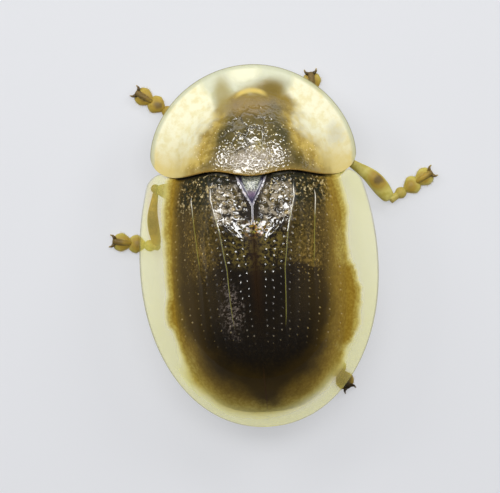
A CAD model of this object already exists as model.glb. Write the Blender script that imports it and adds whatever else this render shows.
"""The looks of a life-size tortoise beetle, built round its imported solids.

Lengths are in metres. Shapes are worked out in the beetle's own frame: the head along -Y, the left
side along +X, the back up, and the origin on the floor under the middle of the shield. PLACE carries
that frame to the solids' frame, so that every finished piece has its place in its mesh.
"""

from math import cos, pi, radians, sin, tan
from types import SimpleNamespace

import bmesh
import bpy
import numpy as np
from bpy.props import FloatProperty, FloatVectorProperty, IntProperty, PointerProperty
from mathutils import Matrix, Vector


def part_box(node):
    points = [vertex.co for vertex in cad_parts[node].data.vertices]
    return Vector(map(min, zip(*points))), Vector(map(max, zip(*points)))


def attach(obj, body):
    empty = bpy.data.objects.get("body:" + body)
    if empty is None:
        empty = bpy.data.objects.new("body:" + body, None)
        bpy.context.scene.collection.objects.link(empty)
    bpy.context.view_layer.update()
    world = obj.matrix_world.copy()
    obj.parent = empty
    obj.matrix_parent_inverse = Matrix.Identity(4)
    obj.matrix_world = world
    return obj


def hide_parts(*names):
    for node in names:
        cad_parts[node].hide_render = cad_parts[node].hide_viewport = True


bl_info = {
    "name": "Tortoise beetle",
    "version": (1, 0, 0),
    "blender": (4, 5, 0),
    "location": "3D View > Sidebar > Beetle",
    "description": "Builds the finished surfaces of a life-size tortoise beetle",
    "category": "Add Mesh",
}

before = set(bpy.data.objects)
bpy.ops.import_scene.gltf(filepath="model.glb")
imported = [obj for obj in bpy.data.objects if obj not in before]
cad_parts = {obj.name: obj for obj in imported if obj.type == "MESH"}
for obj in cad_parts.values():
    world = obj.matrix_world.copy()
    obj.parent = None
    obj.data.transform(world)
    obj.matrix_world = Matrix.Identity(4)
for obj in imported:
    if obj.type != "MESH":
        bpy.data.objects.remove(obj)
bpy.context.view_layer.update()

MM = 0.001

# Read from the solids: the shield's two ends and the mid-plane
HEAD_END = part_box("pronotum")[0].y
TAIL_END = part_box("elytron_left")[1].y
MIDLINE = (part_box("scutellum")[0].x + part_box("scutellum")[1].x) / 2
BODY_LENGTH = TAIL_END - HEAD_END
PLACE = Vector((MIDLINE, (HEAD_END + TAIL_END) / 2, 0.0))

# Heights above the floor
EDGE_TOP = 1.18 * MM
CREASE_TOP = 1.42 * MM
DOME_RISE = 1.36 * MM
VENTER = 0.70 * MM
SIDE_TOP = 0.80 * MM

# The pronotum
PRONOTUM_LENGTH = 2.16 * MM
PRONOTUM_WIDTH = 3.97 * MM
PRONOTUM_CORNER = 0.42 * MM
PRONOTUM_CORNER_WIDTH = 0.50 * MM
PRONOTUM_DISC_LENGTH = 1.64 * MM
FRONT_POWER = 1.75
PRONOTUM_TURN = radians(2.0)
HIND_LOBE = 0.05 * MM
SWELLING_X = 0.48 * MM
SWELLING_HALF = 0.30 * MM
SWELLING_LENGTH = 0.50 * MM
SWELLING_RISE = 0.012 * MM
FLAKE_SIZE = 0.30 * MM

# How far the pronotum's disc reaches to each side and to the front: places along Y, then half widths,
# in millimetres
DISC_LEFT = (
    (-3.02, -2.86, -2.45, -2.16, -1.77, -1.55, -1.30),
    (0.36, 0.44, 0.72, 0.96, 1.02, 1.18, 1.26),
)
DISC_RIGHT = (
    (-3.02, -2.78, -2.35, -2.03, -1.77, -1.40),
    (0.60, 0.74, 0.94, 1.06, 1.20, 1.40),
)
DISC_FRONT = -3.00

# The wing cases
BODY_WIDTH = 4.6 * MM
WIDEST_Y = 0.32 * MM
OUTLINE_POWER = 2.1
SHOULDER_HALF = 2.12 * MM
SHOULDER_ROUND = 0.30 * MM
DISC_HALF = 1.66 * MM
DISC_WIDEST_Y = 0.45 * MM
DISC_BASE_HALF = 1.50 * MM
DISC_POWER = 2.7
TAIL_MARGIN = 0.29 * MM
PEAK_Y = -0.40 * MM
BASE_HEIGHT_SHARE = 0.78
BASE_FALL_POWER = 1.45
PROFILE_POWER = 2.3
TAIL_FALL_POWER = 2.2
TAIL_FALL_ROUND = 0.9
MARGIN_SHARE = 0.30
TAIL_CREASE_SHARE = 0.45

# How softly the dome's foot is rounded
PRONOTUM_CREASE = 0.06
WING_CREASE = 0.035
SUTURE_GAP = 0.003 * MM
SUTURE_RISE = 0.006 * MM
GROOVE_DEPTH = 0.004 * MM
HUMP_RISE = 0.060 * MM
FOLD_RISE = 0.042 * MM
BEAD_RISE = 0.012 * MM

# The shield's lean to the left, for each unit of height
SIDE_LEAN = 0.045

# The pits stand in rows that draw toward the suture or away from it along a wing case: the share of
# its length, then the power that does so
STRIAE = 10
STRIA_RUN = (
    (0, 0.06, 0.12, 0.18, 0.24, 0.37, 0.55, 1.0),
    (0.90, 0.80, 0.71, 0.86, 1.00, 1.20, 1.25, 1.50),
)

# Each fine ridge: the row that it follows, and where it starts and ends as shares of the length
COSTAE = ((4, 0.00, 0.66), (7, 0.03, 0.42))

# The wing cases start under the pronotum's hind edge, set down by the drop
BASE_GAP = -0.05 * MM
BASE_DROP = 0.08 * MM
BASE_DROP_RANGE = (0.01 * MM, 0.11 * MM)

# The scutellum, between the wing cases
SCUTELLUM_HALF = 0.26 * MM
SCUTELLUM_LENGTH = 0.60 * MM
SCUTELLUM_BULGE = 0.18
SCUTELLUM_GAP = 0.008 * MM
SCUTELLUM_GAP_ROUND = 0.05 * MM
SCUTELLUM_RISE = 0.03 * MM
SCUTELLUM_SINK = 0.02 * MM
SCUTELLUM_THICKNESS = 0.12 * MM

# Places along the middle, from the head's end to the tail's
HEAD_Y = -BODY_LENGTH / 2
TAIL_Y = BODY_LENGTH / 2
HALF_WIDTH = BODY_WIDTH / 2
HIND_EDGE_Y = HEAD_Y + PRONOTUM_LENGTH
WING_BASE_Y = HIND_EDGE_Y + 0.12 * MM
GRID_BASE_Y = HIND_EDGE_Y + BASE_GAP
DISC_END_Y = TAIL_Y - TAIL_MARGIN

# The body under the shield
BODY_HALF = 1.36 * MM
PROTHORAX_FRONT_Y = -1.93 * MM
THORAX_END_Y = 0.50 * MM
ABDOMEN_END_Y = 2.80 * MM
STERNITES = 5
STERNITE_STEP = 0.055 * MM
UNDER_SHELL = 0.30 * MM
BELLY_ROUND = 0.26 * MM
BODY_GAP = 0.05 * MM

# Where each leg bends, seen from above in millimetres: hip, knee, ankle and the claws' reach
LEGS = {
    "front_left": ((0.34, -1.62), (1.24, -1.94), (1.48, -2.62), (2.26, -3.17)),
    "front_right": ((-0.34, -1.62), (-1.26, -1.98), (-1.27, -2.62), (-1.22, -3.39)),
    "middle_left": ((0.48, -0.80), (1.92, -1.22), (1.95, -0.10), (2.90, -0.27)),
    "middle_right": ((-0.48, -0.80), (-1.86, -1.54), (-2.62, -0.73), (-3.54, -1.27)),
    "hind_left": ((0.52, 0.28), (1.66, 0.82), (1.08, 1.70), (1.00, 2.58)),
    "hind_right": ((-0.52, 0.28), (-1.70, 0.94), (-1.18, 2.04), (-1.64, 2.95)),
}

# How much darker some limbs are than the others, and their feet, and how slim a shin is
LEG_SHADES = {
    "front_left": (0.0, 0.35),
    "front_right": (0.0, 0.30),
    "middle_left": (0.90, 0.15),
    "hind_right": (0.80, 0.80),
}
SHIN_SHARES = {"middle_left": 0.68}

FEMUR_Z = 0.36 * MM
KNEE_Z = 0.36 * MM
ANKLE_Z = 0.20 * MM
SOLE_Z = 0.10 * MM
KNEE_RADIUS = 0.112 * MM
CLAW_RADIUS = 0.034 * MM
CLAW_SPREAD = radians(56)
BRISTLE_DENSITY = 1.6e9

# The head, with the bends of a jaw and a palp measured from the mouth in millimetres
ANTENNA_Z = 0.58 * MM
ANTENNA_SEGMENTS = 11
HEAD_CENTRE = Vector((0.0, -2.40, 0.72)) * MM
HEAD_HALF = Vector((0.47, 0.36, 0.36)) * MM
EYE_CENTRE = Vector((0.38, -2.43, 0.75)) * MM
EYE_HALF = Vector((0.13, 0.20, 0.22)) * MM
JAW = ((0.15, -0.06, -0.03), (0.13, -0.17, -0.07), (0.03, -0.22, -0.09))
PALP = ((0.20, 0.0, -0.05), (0.30, -0.05, -0.08), (0.33, -0.15, -0.12), (0.30, -0.24, -0.14))

# Each lamp: the way to it, its width and depth in millimetres, and the setting of its radiance
LAMPS = {
    "left": ((0.64, -0.48, 0.60), 12.0, 17.0, "side_light"),
    "right": ((-0.64, -0.48, 0.60), 12.0, 17.0, "side_light"),
    "high": ((0.02, -0.23, 0.97), 32.0, 14.0, "high_light"),
    "front": ((0.00, -0.80, 0.60), 14.0, 8.0, "front_light"),
}
FLOOR_REACH = 300 * MM
FLOOR_LIT = 0.35
FLOOR_GLOW = 0.60
SKY_STRENGTH = 0.09

# What the camera looks at, from the middle of the shield
AIM = Vector((0.155, 0.010, 0)) * MM


def length_property(name, description, millimetres):
    return FloatProperty(
        name=name, description=description, default=millimetres * MM, min=0.0,
        unit="LENGTH", subtype="DISTANCE", precision=6,
    )


def colour_property(name, description, colour):
    return FloatVectorProperty(
        name=name, description=description, default=colour, size=3,
        min=0.0, max=1.0, subtype="COLOR",
    )


class ShieldSettings(bpy.types.PropertyGroup):
    """Sizes of the pronotum's and the wing cases' finish."""

    rim_thickness: length_property("Rim thickness", "Thickness of the shield at its edge", 0.05)
    disc_thickness: length_property("Disc thickness", "Thickness of the domed part", 0.13)
    pit_radius: length_property("Pit radius", "Radius of a pit in the wing cases' rows", 0.025)
    pit_depth: length_property("Pit depth", "Depth of a pit in the wing cases' rows", 0.010)
    pit_spacing: length_property("Pit spacing", "Distance between pits along a row", 0.152)
    costa_height: length_property("Ridge height", "Height of the two fine ridges", 0.016)
    costa_half: length_property("Ridge half width", "Half the width of the fine ridges", 0.010)
    wave_height: length_property("Wave height", "Height of the folds beside the scutellum", 0.030)
    prick_depth: length_property("Prick depth", "Depth of the pronotum's fine pits", 0.008)
    crease_height: length_property("Crease height", "Depth of the pronotum's cracks", 0.018)
    seed: IntProperty(name="Seed", description="Seed of every scattered detail", default=7)


class LimbSettings(bpy.types.PropertyGroup):
    """Sizes of legs, feelers and bristles."""

    femur_radius: length_property("Femur radius", "Half the thickness of a thigh", 0.21)
    shin_radius: length_property("Shin radius", "Half the width of a shin at its end", 0.165)
    claw_length: length_property("Claw length", "Length of each claw", 0.145)
    feeler_radius: length_property("Feeler radius", "Half the thickness of a feeler's shaft", 0.055)
    club_radius: length_property("Club radius", "Half the thickness of a feeler's end", 0.085)
    bristle_length: length_property("Bristle length", "Length of the soles' bristles", 0.055)
    bristle_radius: length_property("Bristle radius", "Half the thickness of a bristle's root", 0.003)


class ColourSettings(bpy.types.PropertyGroup):
    """Colours of the beetle."""

    dark: colour_property("Dark", "Darkest part of the wing cases", (0.010, 0.007, 0.004))
    brown: colour_property("Brown", "Flanks of the wing cases", (0.058, 0.034, 0.004))
    ochre: colour_property("Ochre", "Ring beside the clear margin", (0.36, 0.235, 0.030))
    clear: colour_property("Clear", "Clear margin of the wing cases", (0.92, 0.87, 0.15))
    cream: colour_property("Cream", "Sides of the pronotum", (0.87, 0.84, 0.60))
    olive: colour_property("Olive", "Disc of the pronotum", (0.100, 0.074, 0.012))
    steel: colour_property("Steel", "The small triangle between the wing cases", (0.10, 0.11, 0.10))
    straw: colour_property("Straw", "Legs and feelers", (0.50, 0.42, 0.08))
    amber: colour_property("Amber", "Joints and edges of the legs", (0.40, 0.27, 0.040))
    belly: colour_property("Belly", "Underside of the body", (0.045, 0.028, 0.014))
    eye: colour_property("Eye", "Eyes", (0.008, 0.006, 0.006))


class StageSettings(bpy.types.PropertyGroup):
    """Camera, lights and floor."""

    frame_width: length_property("Frame width", "Width of what the camera sees", 9.64)
    lean: FloatProperty(
        name="Lean", description="Turn of the body in the frame", default=radians(3.5),
        subtype="ANGLE",
    )
    camera_height: length_property("Camera height", "Height of the camera", 160.0)
    light_distance: length_property("Light distance", "Distance of the lamps", 45.0)
    side_light: FloatProperty(name="Side lamps", description="Radiance of the two side lamps", default=9.0)
    high_light: FloatProperty(name="High lamp", description="Radiance of the lamp over the head", default=9.0)
    front_light: FloatProperty(name="Front lamp", description="Radiance of the lamp ahead", default=9.0)
    floor_colour: colour_property("Floor", "Colour of the floor", (0.79, 0.80, 0.83))
    sky_colour: colour_property("Sky", "Colour of the light from the sides", (0.93, 0.95, 1.0))


# Meshes

def quads(index):
    """Quads through a grid of vertex numbers."""
    a, b, c, d = index[:-1, :-1], index[1:, :-1], index[1:, 1:], index[:-1, 1:]
    return np.stack([a, b, c, d], -1).reshape(-1, 4).tolist()


def zipped(points, near, far):
    """Triangles between two lines of vertex numbers that may have different counts."""
    def shares(line):
        steps = np.linalg.norm(np.diff(points[line], axis=0), axis=1)
        return np.concatenate([[0], np.cumsum(steps) / max(steps.sum(), 1e-12)])

    near_share, far_share = shares(near), shares(far)
    faces, i, j = [], 0, 0
    while i < len(near) - 1 or j < len(far) - 1:
        near_next = near_share[i + 1] if i < len(near) - 1 else 2.0
        far_next = far_share[j + 1] if j < len(far) - 1 else 2.0
        if near_next <= far_next:
            faces.append([int(near[i]), int(near[i + 1]), int(far[j])])
            i += 1
        else:
            faces.append([int(near[i]), int(far[j + 1]), int(far[j])])
            j += 1
    return faces


def new_piece(name, points, faces, finish, values=None):
    """An object in the solids' frame, closed, smooth and facing out, with named values per point."""
    mesh = bpy.data.meshes.new(name)
    mesh.from_pydata((np.asarray(points) + np.array(PLACE)).tolist(), [], faces)
    for key, numbers in (values or {}).items():
        layer = mesh.attributes.new(key, "FLOAT", "POINT")
        layer.data.foreach_set("value", np.asarray(numbers, np.float32).ravel())
    bm = bmesh.new()
    bm.from_mesh(mesh)
    bmesh.ops.remove_doubles(bm, verts=bm.verts, dist=1e-8)
    bmesh.ops.dissolve_degenerate(bm, dist=1e-9, edges=bm.edges)
    bmesh.ops.recalc_face_normals(bm, faces=bm.faces)
    bm.to_mesh(mesh)
    bm.free()
    mesh.shade_smooth()
    mesh.materials.append(finish)
    obj = bpy.data.objects.new(name, mesh)
    bpy.context.scene.collection.objects.link(obj)
    return obj


def shell(name, top, bottom, finish, top_values, bottom_values):
    """A closed thin shell between two grids of points that share their four sides."""
    points = np.concatenate([top.reshape(-1, 3), bottom.reshape(-1, 3)])
    points[:, 0] += SIDE_LEAN * (points[:, 2] - EDGE_TOP)
    count = top.shape[0] * top.shape[1]
    upper = np.arange(count).reshape(top.shape[:2])
    lower = count + np.arange(bottom.shape[0] * bottom.shape[1]).reshape(bottom.shape[:2])
    faces = quads(upper) + quads(lower)
    for near, far in (
        (upper[0], lower[0]),
        (upper[-1], lower[-1]),
        (upper[:, 0], lower[:, 0]),
        (upper[:, -1], lower[:, -1]),
    ):
        faces += zipped(points, near, far)
    values = {
        key: np.concatenate([np.ravel(top_values[key]), np.ravel(bottom_values[key])])
        for key in top_values
    }
    return new_piece(name, points, faces, finish, values)


class Parts:
    """Gathers closed forms that make one piece, with a tint value for each point."""

    def __init__(self):
        self.points, self.faces, self.tints, self.count = [], [], [], 0

    def add(self, points, faces, tint=0.0):
        points = np.asarray(points, float).reshape(-1, 3)
        self.points.append(points)
        self.faces += [[corner + self.count for corner in face] for face in faces]
        self.tints.append(np.broadcast_to(tint, len(points)).astype(float))
        self.count += len(points)

    def tube(self, path, wide, high=None, sides=20, tint=0.0, up=(0, 0, 1)):
        """A round-ended tube along a path, with an elliptical section."""
        path = np.asarray(path, float)
        wide = np.broadcast_to(wide, len(path))
        high = wide if high is None else np.broadcast_to(high, len(path))
        tangents = np.gradient(path, axis=0)
        tangents /= np.linalg.norm(tangents, axis=1, keepdims=True)
        across = np.cross(tangents, up)
        across /= np.linalg.norm(across, axis=1, keepdims=True)
        rise = np.cross(across, tangents)
        angles = 2 * pi * np.arange(sides) / sides
        rings = (
            path[:, None]
            + across[:, None] * (np.cos(angles)[None, :, None] * wide[:, None, None])
            + rise[:, None] * (np.sin(angles)[None, :, None] * high[:, None, None])
        )
        index = np.arange(len(path) * sides).reshape(len(path), sides)
        faces = quads(np.concatenate([index, index[:, :1]], 1))
        start, end = len(path) * sides, len(path) * sides + 1
        poles = np.stack([
            path[0] - tangents[0] * wide[0] * 0.3,
            path[-1] + tangents[-1] * wide[-1] * 0.3,
        ])
        for k in range(sides):
            after = (k + 1) % sides
            faces.append([start, int(index[0, after]), int(index[0, k])])
            faces.append([end, int(index[-1, k]), int(index[-1, after])])
        tint = np.asarray(tint, float)
        tint = np.broadcast_to(tint if tint.ndim == 2 else np.reshape(tint, (-1, 1)), (len(path), sides))
        tints = np.concatenate([tint.ravel(), [tint[0].mean(), tint[-1].mean()]])
        self.add(np.concatenate([rings.reshape(-1, 3), poles]), faces, tints)

    def ball(self, centre, half, turn=0.0, tint=0.0, shape=None, detail=20):
        """An ellipsoid turned about Z; shape may change its unit points first."""
        rows = np.linspace(0, pi, detail + 1)
        columns = 2 * pi * np.arange(2 * detail) / (2 * detail)
        unit = np.stack([
            np.sin(rows)[:, None] * np.cos(columns)[None],
            np.sin(rows)[:, None] * np.sin(columns)[None],
            np.cos(rows)[:, None] + 0 * columns[None],
        ], -1)
        if shape is not None:
            unit = shape(unit)
        x, y, z = (unit[..., k] * half[k] for k in range(3))
        points = np.stack([
            centre[0] + x * cos(turn) - y * sin(turn),
            centre[1] + x * sin(turn) + y * cos(turn),
            centre[2] + z,
        ], -1)
        index = np.arange(points.shape[0] * points.shape[1]).reshape(points.shape[:2])
        tint = tint(unit).ravel() if callable(tint) else tint
        self.add(points, quads(np.concatenate([index, index[:, :1]], 1)), tint)

    def piece(self, name, finish):
        points = np.concatenate(self.points)
        return new_piece(name, points, self.faces, finish, {"tint": np.concatenate(self.tints)})


def smooth_path(corners, count):
    """Points along a smooth curve through the corners."""
    corners = np.asarray(corners, float)
    padded = np.concatenate([[2 * corners[0] - corners[1]], corners, [2 * corners[-1] - corners[-2]]])
    at = np.linspace(0, len(corners) - 1, count)
    index = np.minimum(at.astype(int), len(corners) - 2)
    t = (at - index)[:, None]
    a, b, c, d = (padded[index + k] for k in range(4))
    return 0.5 * (2 * b + (c - a) * t + (2 * a - 5 * b + 4 * c - d) * t**2 + (3 * b - a - 3 * c + d) * t**3)


def smoothstep(value, low, high):
    """A smooth rise from 0 at low to 1 at high."""
    share = np.clip((value - low) / (high - low), 0, 1)
    return share * share * (3 - 2 * share)


def bell(value, centre, half, power=2):
    """1 at the centre, falling off about half away from it, and flat-topped where the power is 4."""
    return np.exp(-(((value - centre) / half) ** power))


# The shield's forms, close to those of the solids

def superellipse(share, power):
    """1 in the middle and 0 at the end, squarer where the power is high."""
    return (1 - np.clip(np.abs(share), 0, 1) ** power) ** (1 / power)


def profile(share, soft):
    """1 in the middle and 0 from the disc's edge outward, with the crease rounded by soft."""
    left = 1 - np.clip(np.abs(share), 0, 3) ** PROFILE_POWER
    return soft * np.log1p(np.exp(left / soft))


def slope_normal(height, x, y):
    """The upward direction square to a surface of that height."""
    step = 0.01 * MM
    rise_x = (height(x + step, y) - height(x - step, y)) / (2 * step)
    rise_y = (height(x, y + step) - height(x, y - step)) / (2 * step)
    normal = np.stack([-rise_x, -rise_y, np.ones_like(rise_x)], axis=-1)
    return normal / np.linalg.norm(normal, axis=-1, keepdims=True)


def line_by_length(line, shares):
    """Points on a line at shares of its length."""
    line = np.asarray(line)
    steps = np.linalg.norm(np.diff(line, axis=0), axis=1)
    reach = np.concatenate([[0], np.cumsum(steps)]) / steps.sum()
    return np.stack([np.interp(shares, reach, line[:, k]) for k in range(line.shape[1])], 1)


def shell_points(plan, height, thickness):
    """Points that far below a surface, square to it."""
    x, y = plan[..., 0], plan[..., 1]
    surface = np.stack([x, y, height(x, y)], -1)
    return surface - slope_normal(height, x, y) * np.asarray(thickness)[..., None]


def hind_edge(x):
    """The pronotum's hind edge, with a low lobe in the middle and rounded corners."""
    half = PRONOTUM_WIDTH / 2
    flat = half - PRONOTUM_CORNER_WIDTH
    into_corner = np.clip((np.abs(x) - flat) / PRONOTUM_CORNER_WIDTH, 0, 1)
    lobe = HIND_LOBE * np.cos(np.clip(np.abs(x) / flat, 0, 1) * 2 * pi)
    forward = PRONOTUM_CORNER * (1 - np.sqrt(1 - into_corner**2))
    return HIND_EDGE_Y + lobe - HIND_LOBE - forward


def turned(points):
    """Points of the pronotum, turned a little about the middle of its hind edge."""
    x, y = points[..., 0], points[..., 1] - HIND_EDGE_Y
    out = points.copy()
    out[..., 0] = x * cos(PRONOTUM_TURN) + y * sin(PRONOTUM_TURN)
    out[..., 1] = -x * sin(PRONOTUM_TURN) + y * cos(PRONOTUM_TURN) + HIND_EDGE_Y
    return out


def pronotum_height(x, y):
    ahead = HIND_EDGE_Y - y
    disc = np.hypot(x / DISC_BASE_HALF, np.clip(ahead, 0, None) / PRONOTUM_DISC_LENGTH)
    front = PRONOTUM_LENGTH - PRONOTUM_CORNER
    beyond = np.clip(ahead - PRONOTUM_CORNER, 0, None) / front
    outline = np.hypot(x / (PRONOTUM_WIDTH / 2), beyond)
    margin = np.clip((1 - outline) / MARGIN_SHARE, 0, 1)
    rise = DOME_RISE * BASE_HEIGHT_SHARE
    return EDGE_TOP + (CREASE_TOP - EDGE_TOP) * margin + rise * profile(disc, PRONOTUM_CREASE)


def pronotum_grid(across, along):
    """Plan positions from the hind edge to the rim in front."""
    half = PRONOTUM_WIDTH / 2
    corner_y = HIND_EDGE_Y - PRONOTUM_CORNER
    fine = half * np.sin(np.linspace(-pi / 2, pi / 2, 361))
    hind_line = np.stack([fine, hind_edge(fine)], 1)
    hind_line[[0, -1], 1] = corner_y
    angle = np.linspace(-pi / 2, pi / 2, 361)
    front_reach = PRONOTUM_LENGTH - PRONOTUM_CORNER
    forward = front_reach * np.cos(angle) ** (2 / FRONT_POWER)
    front_line = np.stack([half * np.sin(angle), corner_y - forward], 1)
    hind = line_by_length(hind_line, across)[:, None]
    front = line_by_length(front_line, across)[:, None]
    share = np.asarray(along)[None, :, None]
    return (1 - share) * hind + share * front


def disc_half(y):
    """Half the width of the wing cases' domed disc."""
    behind = (y - DISC_WIDEST_Y) / (DISC_END_Y - DISC_WIDEST_Y)
    ahead = np.clip((DISC_WIDEST_Y - y) / (DISC_WIDEST_Y - WING_BASE_Y), 0, 1.2)
    front = DISC_HALF - (DISC_HALF - DISC_BASE_HALF) * ahead**2
    return np.where(y > DISC_WIDEST_Y, DISC_HALF * superellipse(behind, DISC_POWER), front)


def dome_rise(y):
    """How high the dome stands over the crease along the middle."""
    behind = np.clip((y - PEAK_Y) / (DISC_END_Y - PEAK_Y), 0, 1)
    ahead = np.clip((PEAK_Y - y) / (PEAK_Y - WING_BASE_Y), 0, 1.3)
    tail = (1 - behind**TAIL_FALL_POWER) ** TAIL_FALL_ROUND
    front = 1 - (1 - BASE_HEIGHT_SHARE) * ahead**BASE_FALL_POWER
    return DOME_RISE * np.where(y > PEAK_Y, tail, front)


def outer_half(y):
    """Half the width of the wing cases together."""
    behind = (y - WIDEST_Y) / (TAIL_Y - WIDEST_Y)
    ahead = np.clip((WIDEST_Y - y) / (WIDEST_Y - WING_BASE_Y), 0, 1.3)
    front = HALF_WIDTH - (HALF_WIDTH - SHOULDER_HALF) * ahead**2
    return np.where(y > WIDEST_Y, HALF_WIDTH * superellipse(behind, OUTLINE_POWER), front)


def outline_reach(x, y):
    """0 in the middle of the back and 1 on the outer edge."""
    behind = np.clip((y - WIDEST_Y) / (TAIL_Y - WIDEST_Y), 0, 1)
    side = np.abs(x) / np.where(y > WIDEST_Y, HALF_WIDTH, outer_half(y))
    return (side**OUTLINE_POWER + behind**OUTLINE_POWER) ** (1 / OUTLINE_POWER)


def disc_reach(x, y):
    """0 in the middle of the back, 1 on the edge of the domed disc and 2 on the outer edge."""
    behind = np.clip((y - DISC_WIDEST_Y) / (DISC_END_Y - DISC_WIDEST_Y), 0, None)
    half = np.where(y > DISC_WIDEST_Y, DISC_HALF, disc_half(y))
    disc = (np.abs(x / half) ** DISC_POWER + behind**DISC_POWER) ** (1 / DISC_POWER)
    past = np.clip(disc - 1, 0, None)
    left = np.clip(1 - outline_reach(x, y), 1e-6, None)
    return np.where(disc < 1, disc, 1 + past / (past + left))


def wing_height(x, y):
    margin = np.clip((1 - outline_reach(x, y)) / MARGIN_SHARE, 0, 1)
    across = np.abs(x) / np.maximum(disc_half(y), 0.012 * MM)
    return EDGE_TOP + (CREASE_TOP - EDGE_TOP) * margin + dome_rise(y) * profile(across, WING_CREASE)


def scutellum_half(y):
    """Half the width of the triangle between the wing cases."""
    along = np.clip((y - GRID_BASE_Y) / SCUTELLUM_LENGTH, 0, 1)
    return SCUTELLUM_HALF * (1 - along) * (1 + SCUTELLUM_BULGE * np.sin(pi * along))


def inner_edge(y):
    """How far a wing case keeps from the middle."""
    half = scutellum_half(y)
    return SUTURE_GAP / 2 + half + SCUTELLUM_GAP * np.clip(half / SCUTELLUM_GAP_ROUND, 0, 1)


def side_hind_edge(x, side):
    """The pronotum's hind edge over one wing case, x going outward."""
    reach = PRONOTUM_WIDTH / 2 - PRONOTUM_CORNER_WIDTH / 8
    return hind_edge(np.minimum(x, reach)) - side * x * tan(PRONOTUM_TURN)


def base_drop(x, y, side):
    """1 under the pronotum's hind edge, falling to 0 a little behind it."""
    return 1 - smoothstep(y - side_hind_edge(np.abs(x), side), *BASE_DROP_RANGE)


def outer_line():
    """The outer edge of a wing case, from its shoulder to the tail."""
    shoulder_y = float(side_hind_edge(SHOULDER_HALF, 1)) + BASE_GAP
    front = np.linspace(shoulder_y, WIDEST_Y, 180, endpoint=False)
    inset = 1 - np.clip((front - shoulder_y) / SHOULDER_ROUND, 0, 1)
    rounded = SHOULDER_ROUND * (1 - np.sqrt(1 - inset**2))
    angle = np.linspace(0, pi / 2, 360)
    reach = TAIL_Y - WIDEST_Y
    tail_x = np.maximum(HALF_WIDTH * np.cos(angle) ** (2 / OUTLINE_POWER), SUTURE_GAP / 2)
    tail_y = WIDEST_Y + reach * np.sin(angle) ** (2 / OUTLINE_POWER)
    x = np.concatenate([outer_half(front) - rounded, tail_x])
    return np.stack([x, np.concatenate([front, tail_y])], 1)


def crease_share(inner, outer):
    """Where the margin starts, as a share of the way from edge to edge."""
    tries = np.linspace(0, 1, 400)[None, :, None]
    points = (1 - tries) * inner[:, None] + tries * outer[:, None]
    in_margin = points[..., 0] >= disc_half(points[..., 1])
    first = np.argmax(in_margin, axis=1) / 399
    first = np.maximum(np.where(in_margin.any(axis=1), first, 1.0), TAIL_CREASE_SHARE)
    kernel = np.ones(9) / 9
    return np.convolve(np.pad(first, 4, mode="edge"), kernel, mode="valid")


def wing_grid(along, disc_columns, margin_columns, side):
    """Plan positions with the columns following the striae, all meeting at the tail."""
    y = GRID_BASE_Y + (TAIL_Y - GRID_BASE_Y) * along
    inner = np.stack([inner_edge(y), y], 1)
    inner[-1] = (SUTURE_GAP / 2, TAIL_Y)
    outer = line_by_length(outer_line(), along)
    outer[-1] = inner[-1]
    crease = crease_share(inner, outer)[:, None]
    drift = np.interp(along, *STRIA_RUN)[:, None]
    disc = crease * disc_columns[None] ** drift
    margin = crease + (1 - crease) * margin_columns[None]
    share = np.concatenate([disc, margin], 1)[..., None]
    plan = (1 - share) * inner[:, None] + share * outer[:, None]
    wanted = side_hind_edge(plan[0, :, 0], side) + BASE_GAP
    ease = (1 - along[:, None]) ** 4
    plan[..., 1] += ease * (wanted - plan[0, :, 1])[None]
    return plan


# Node trees

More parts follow.
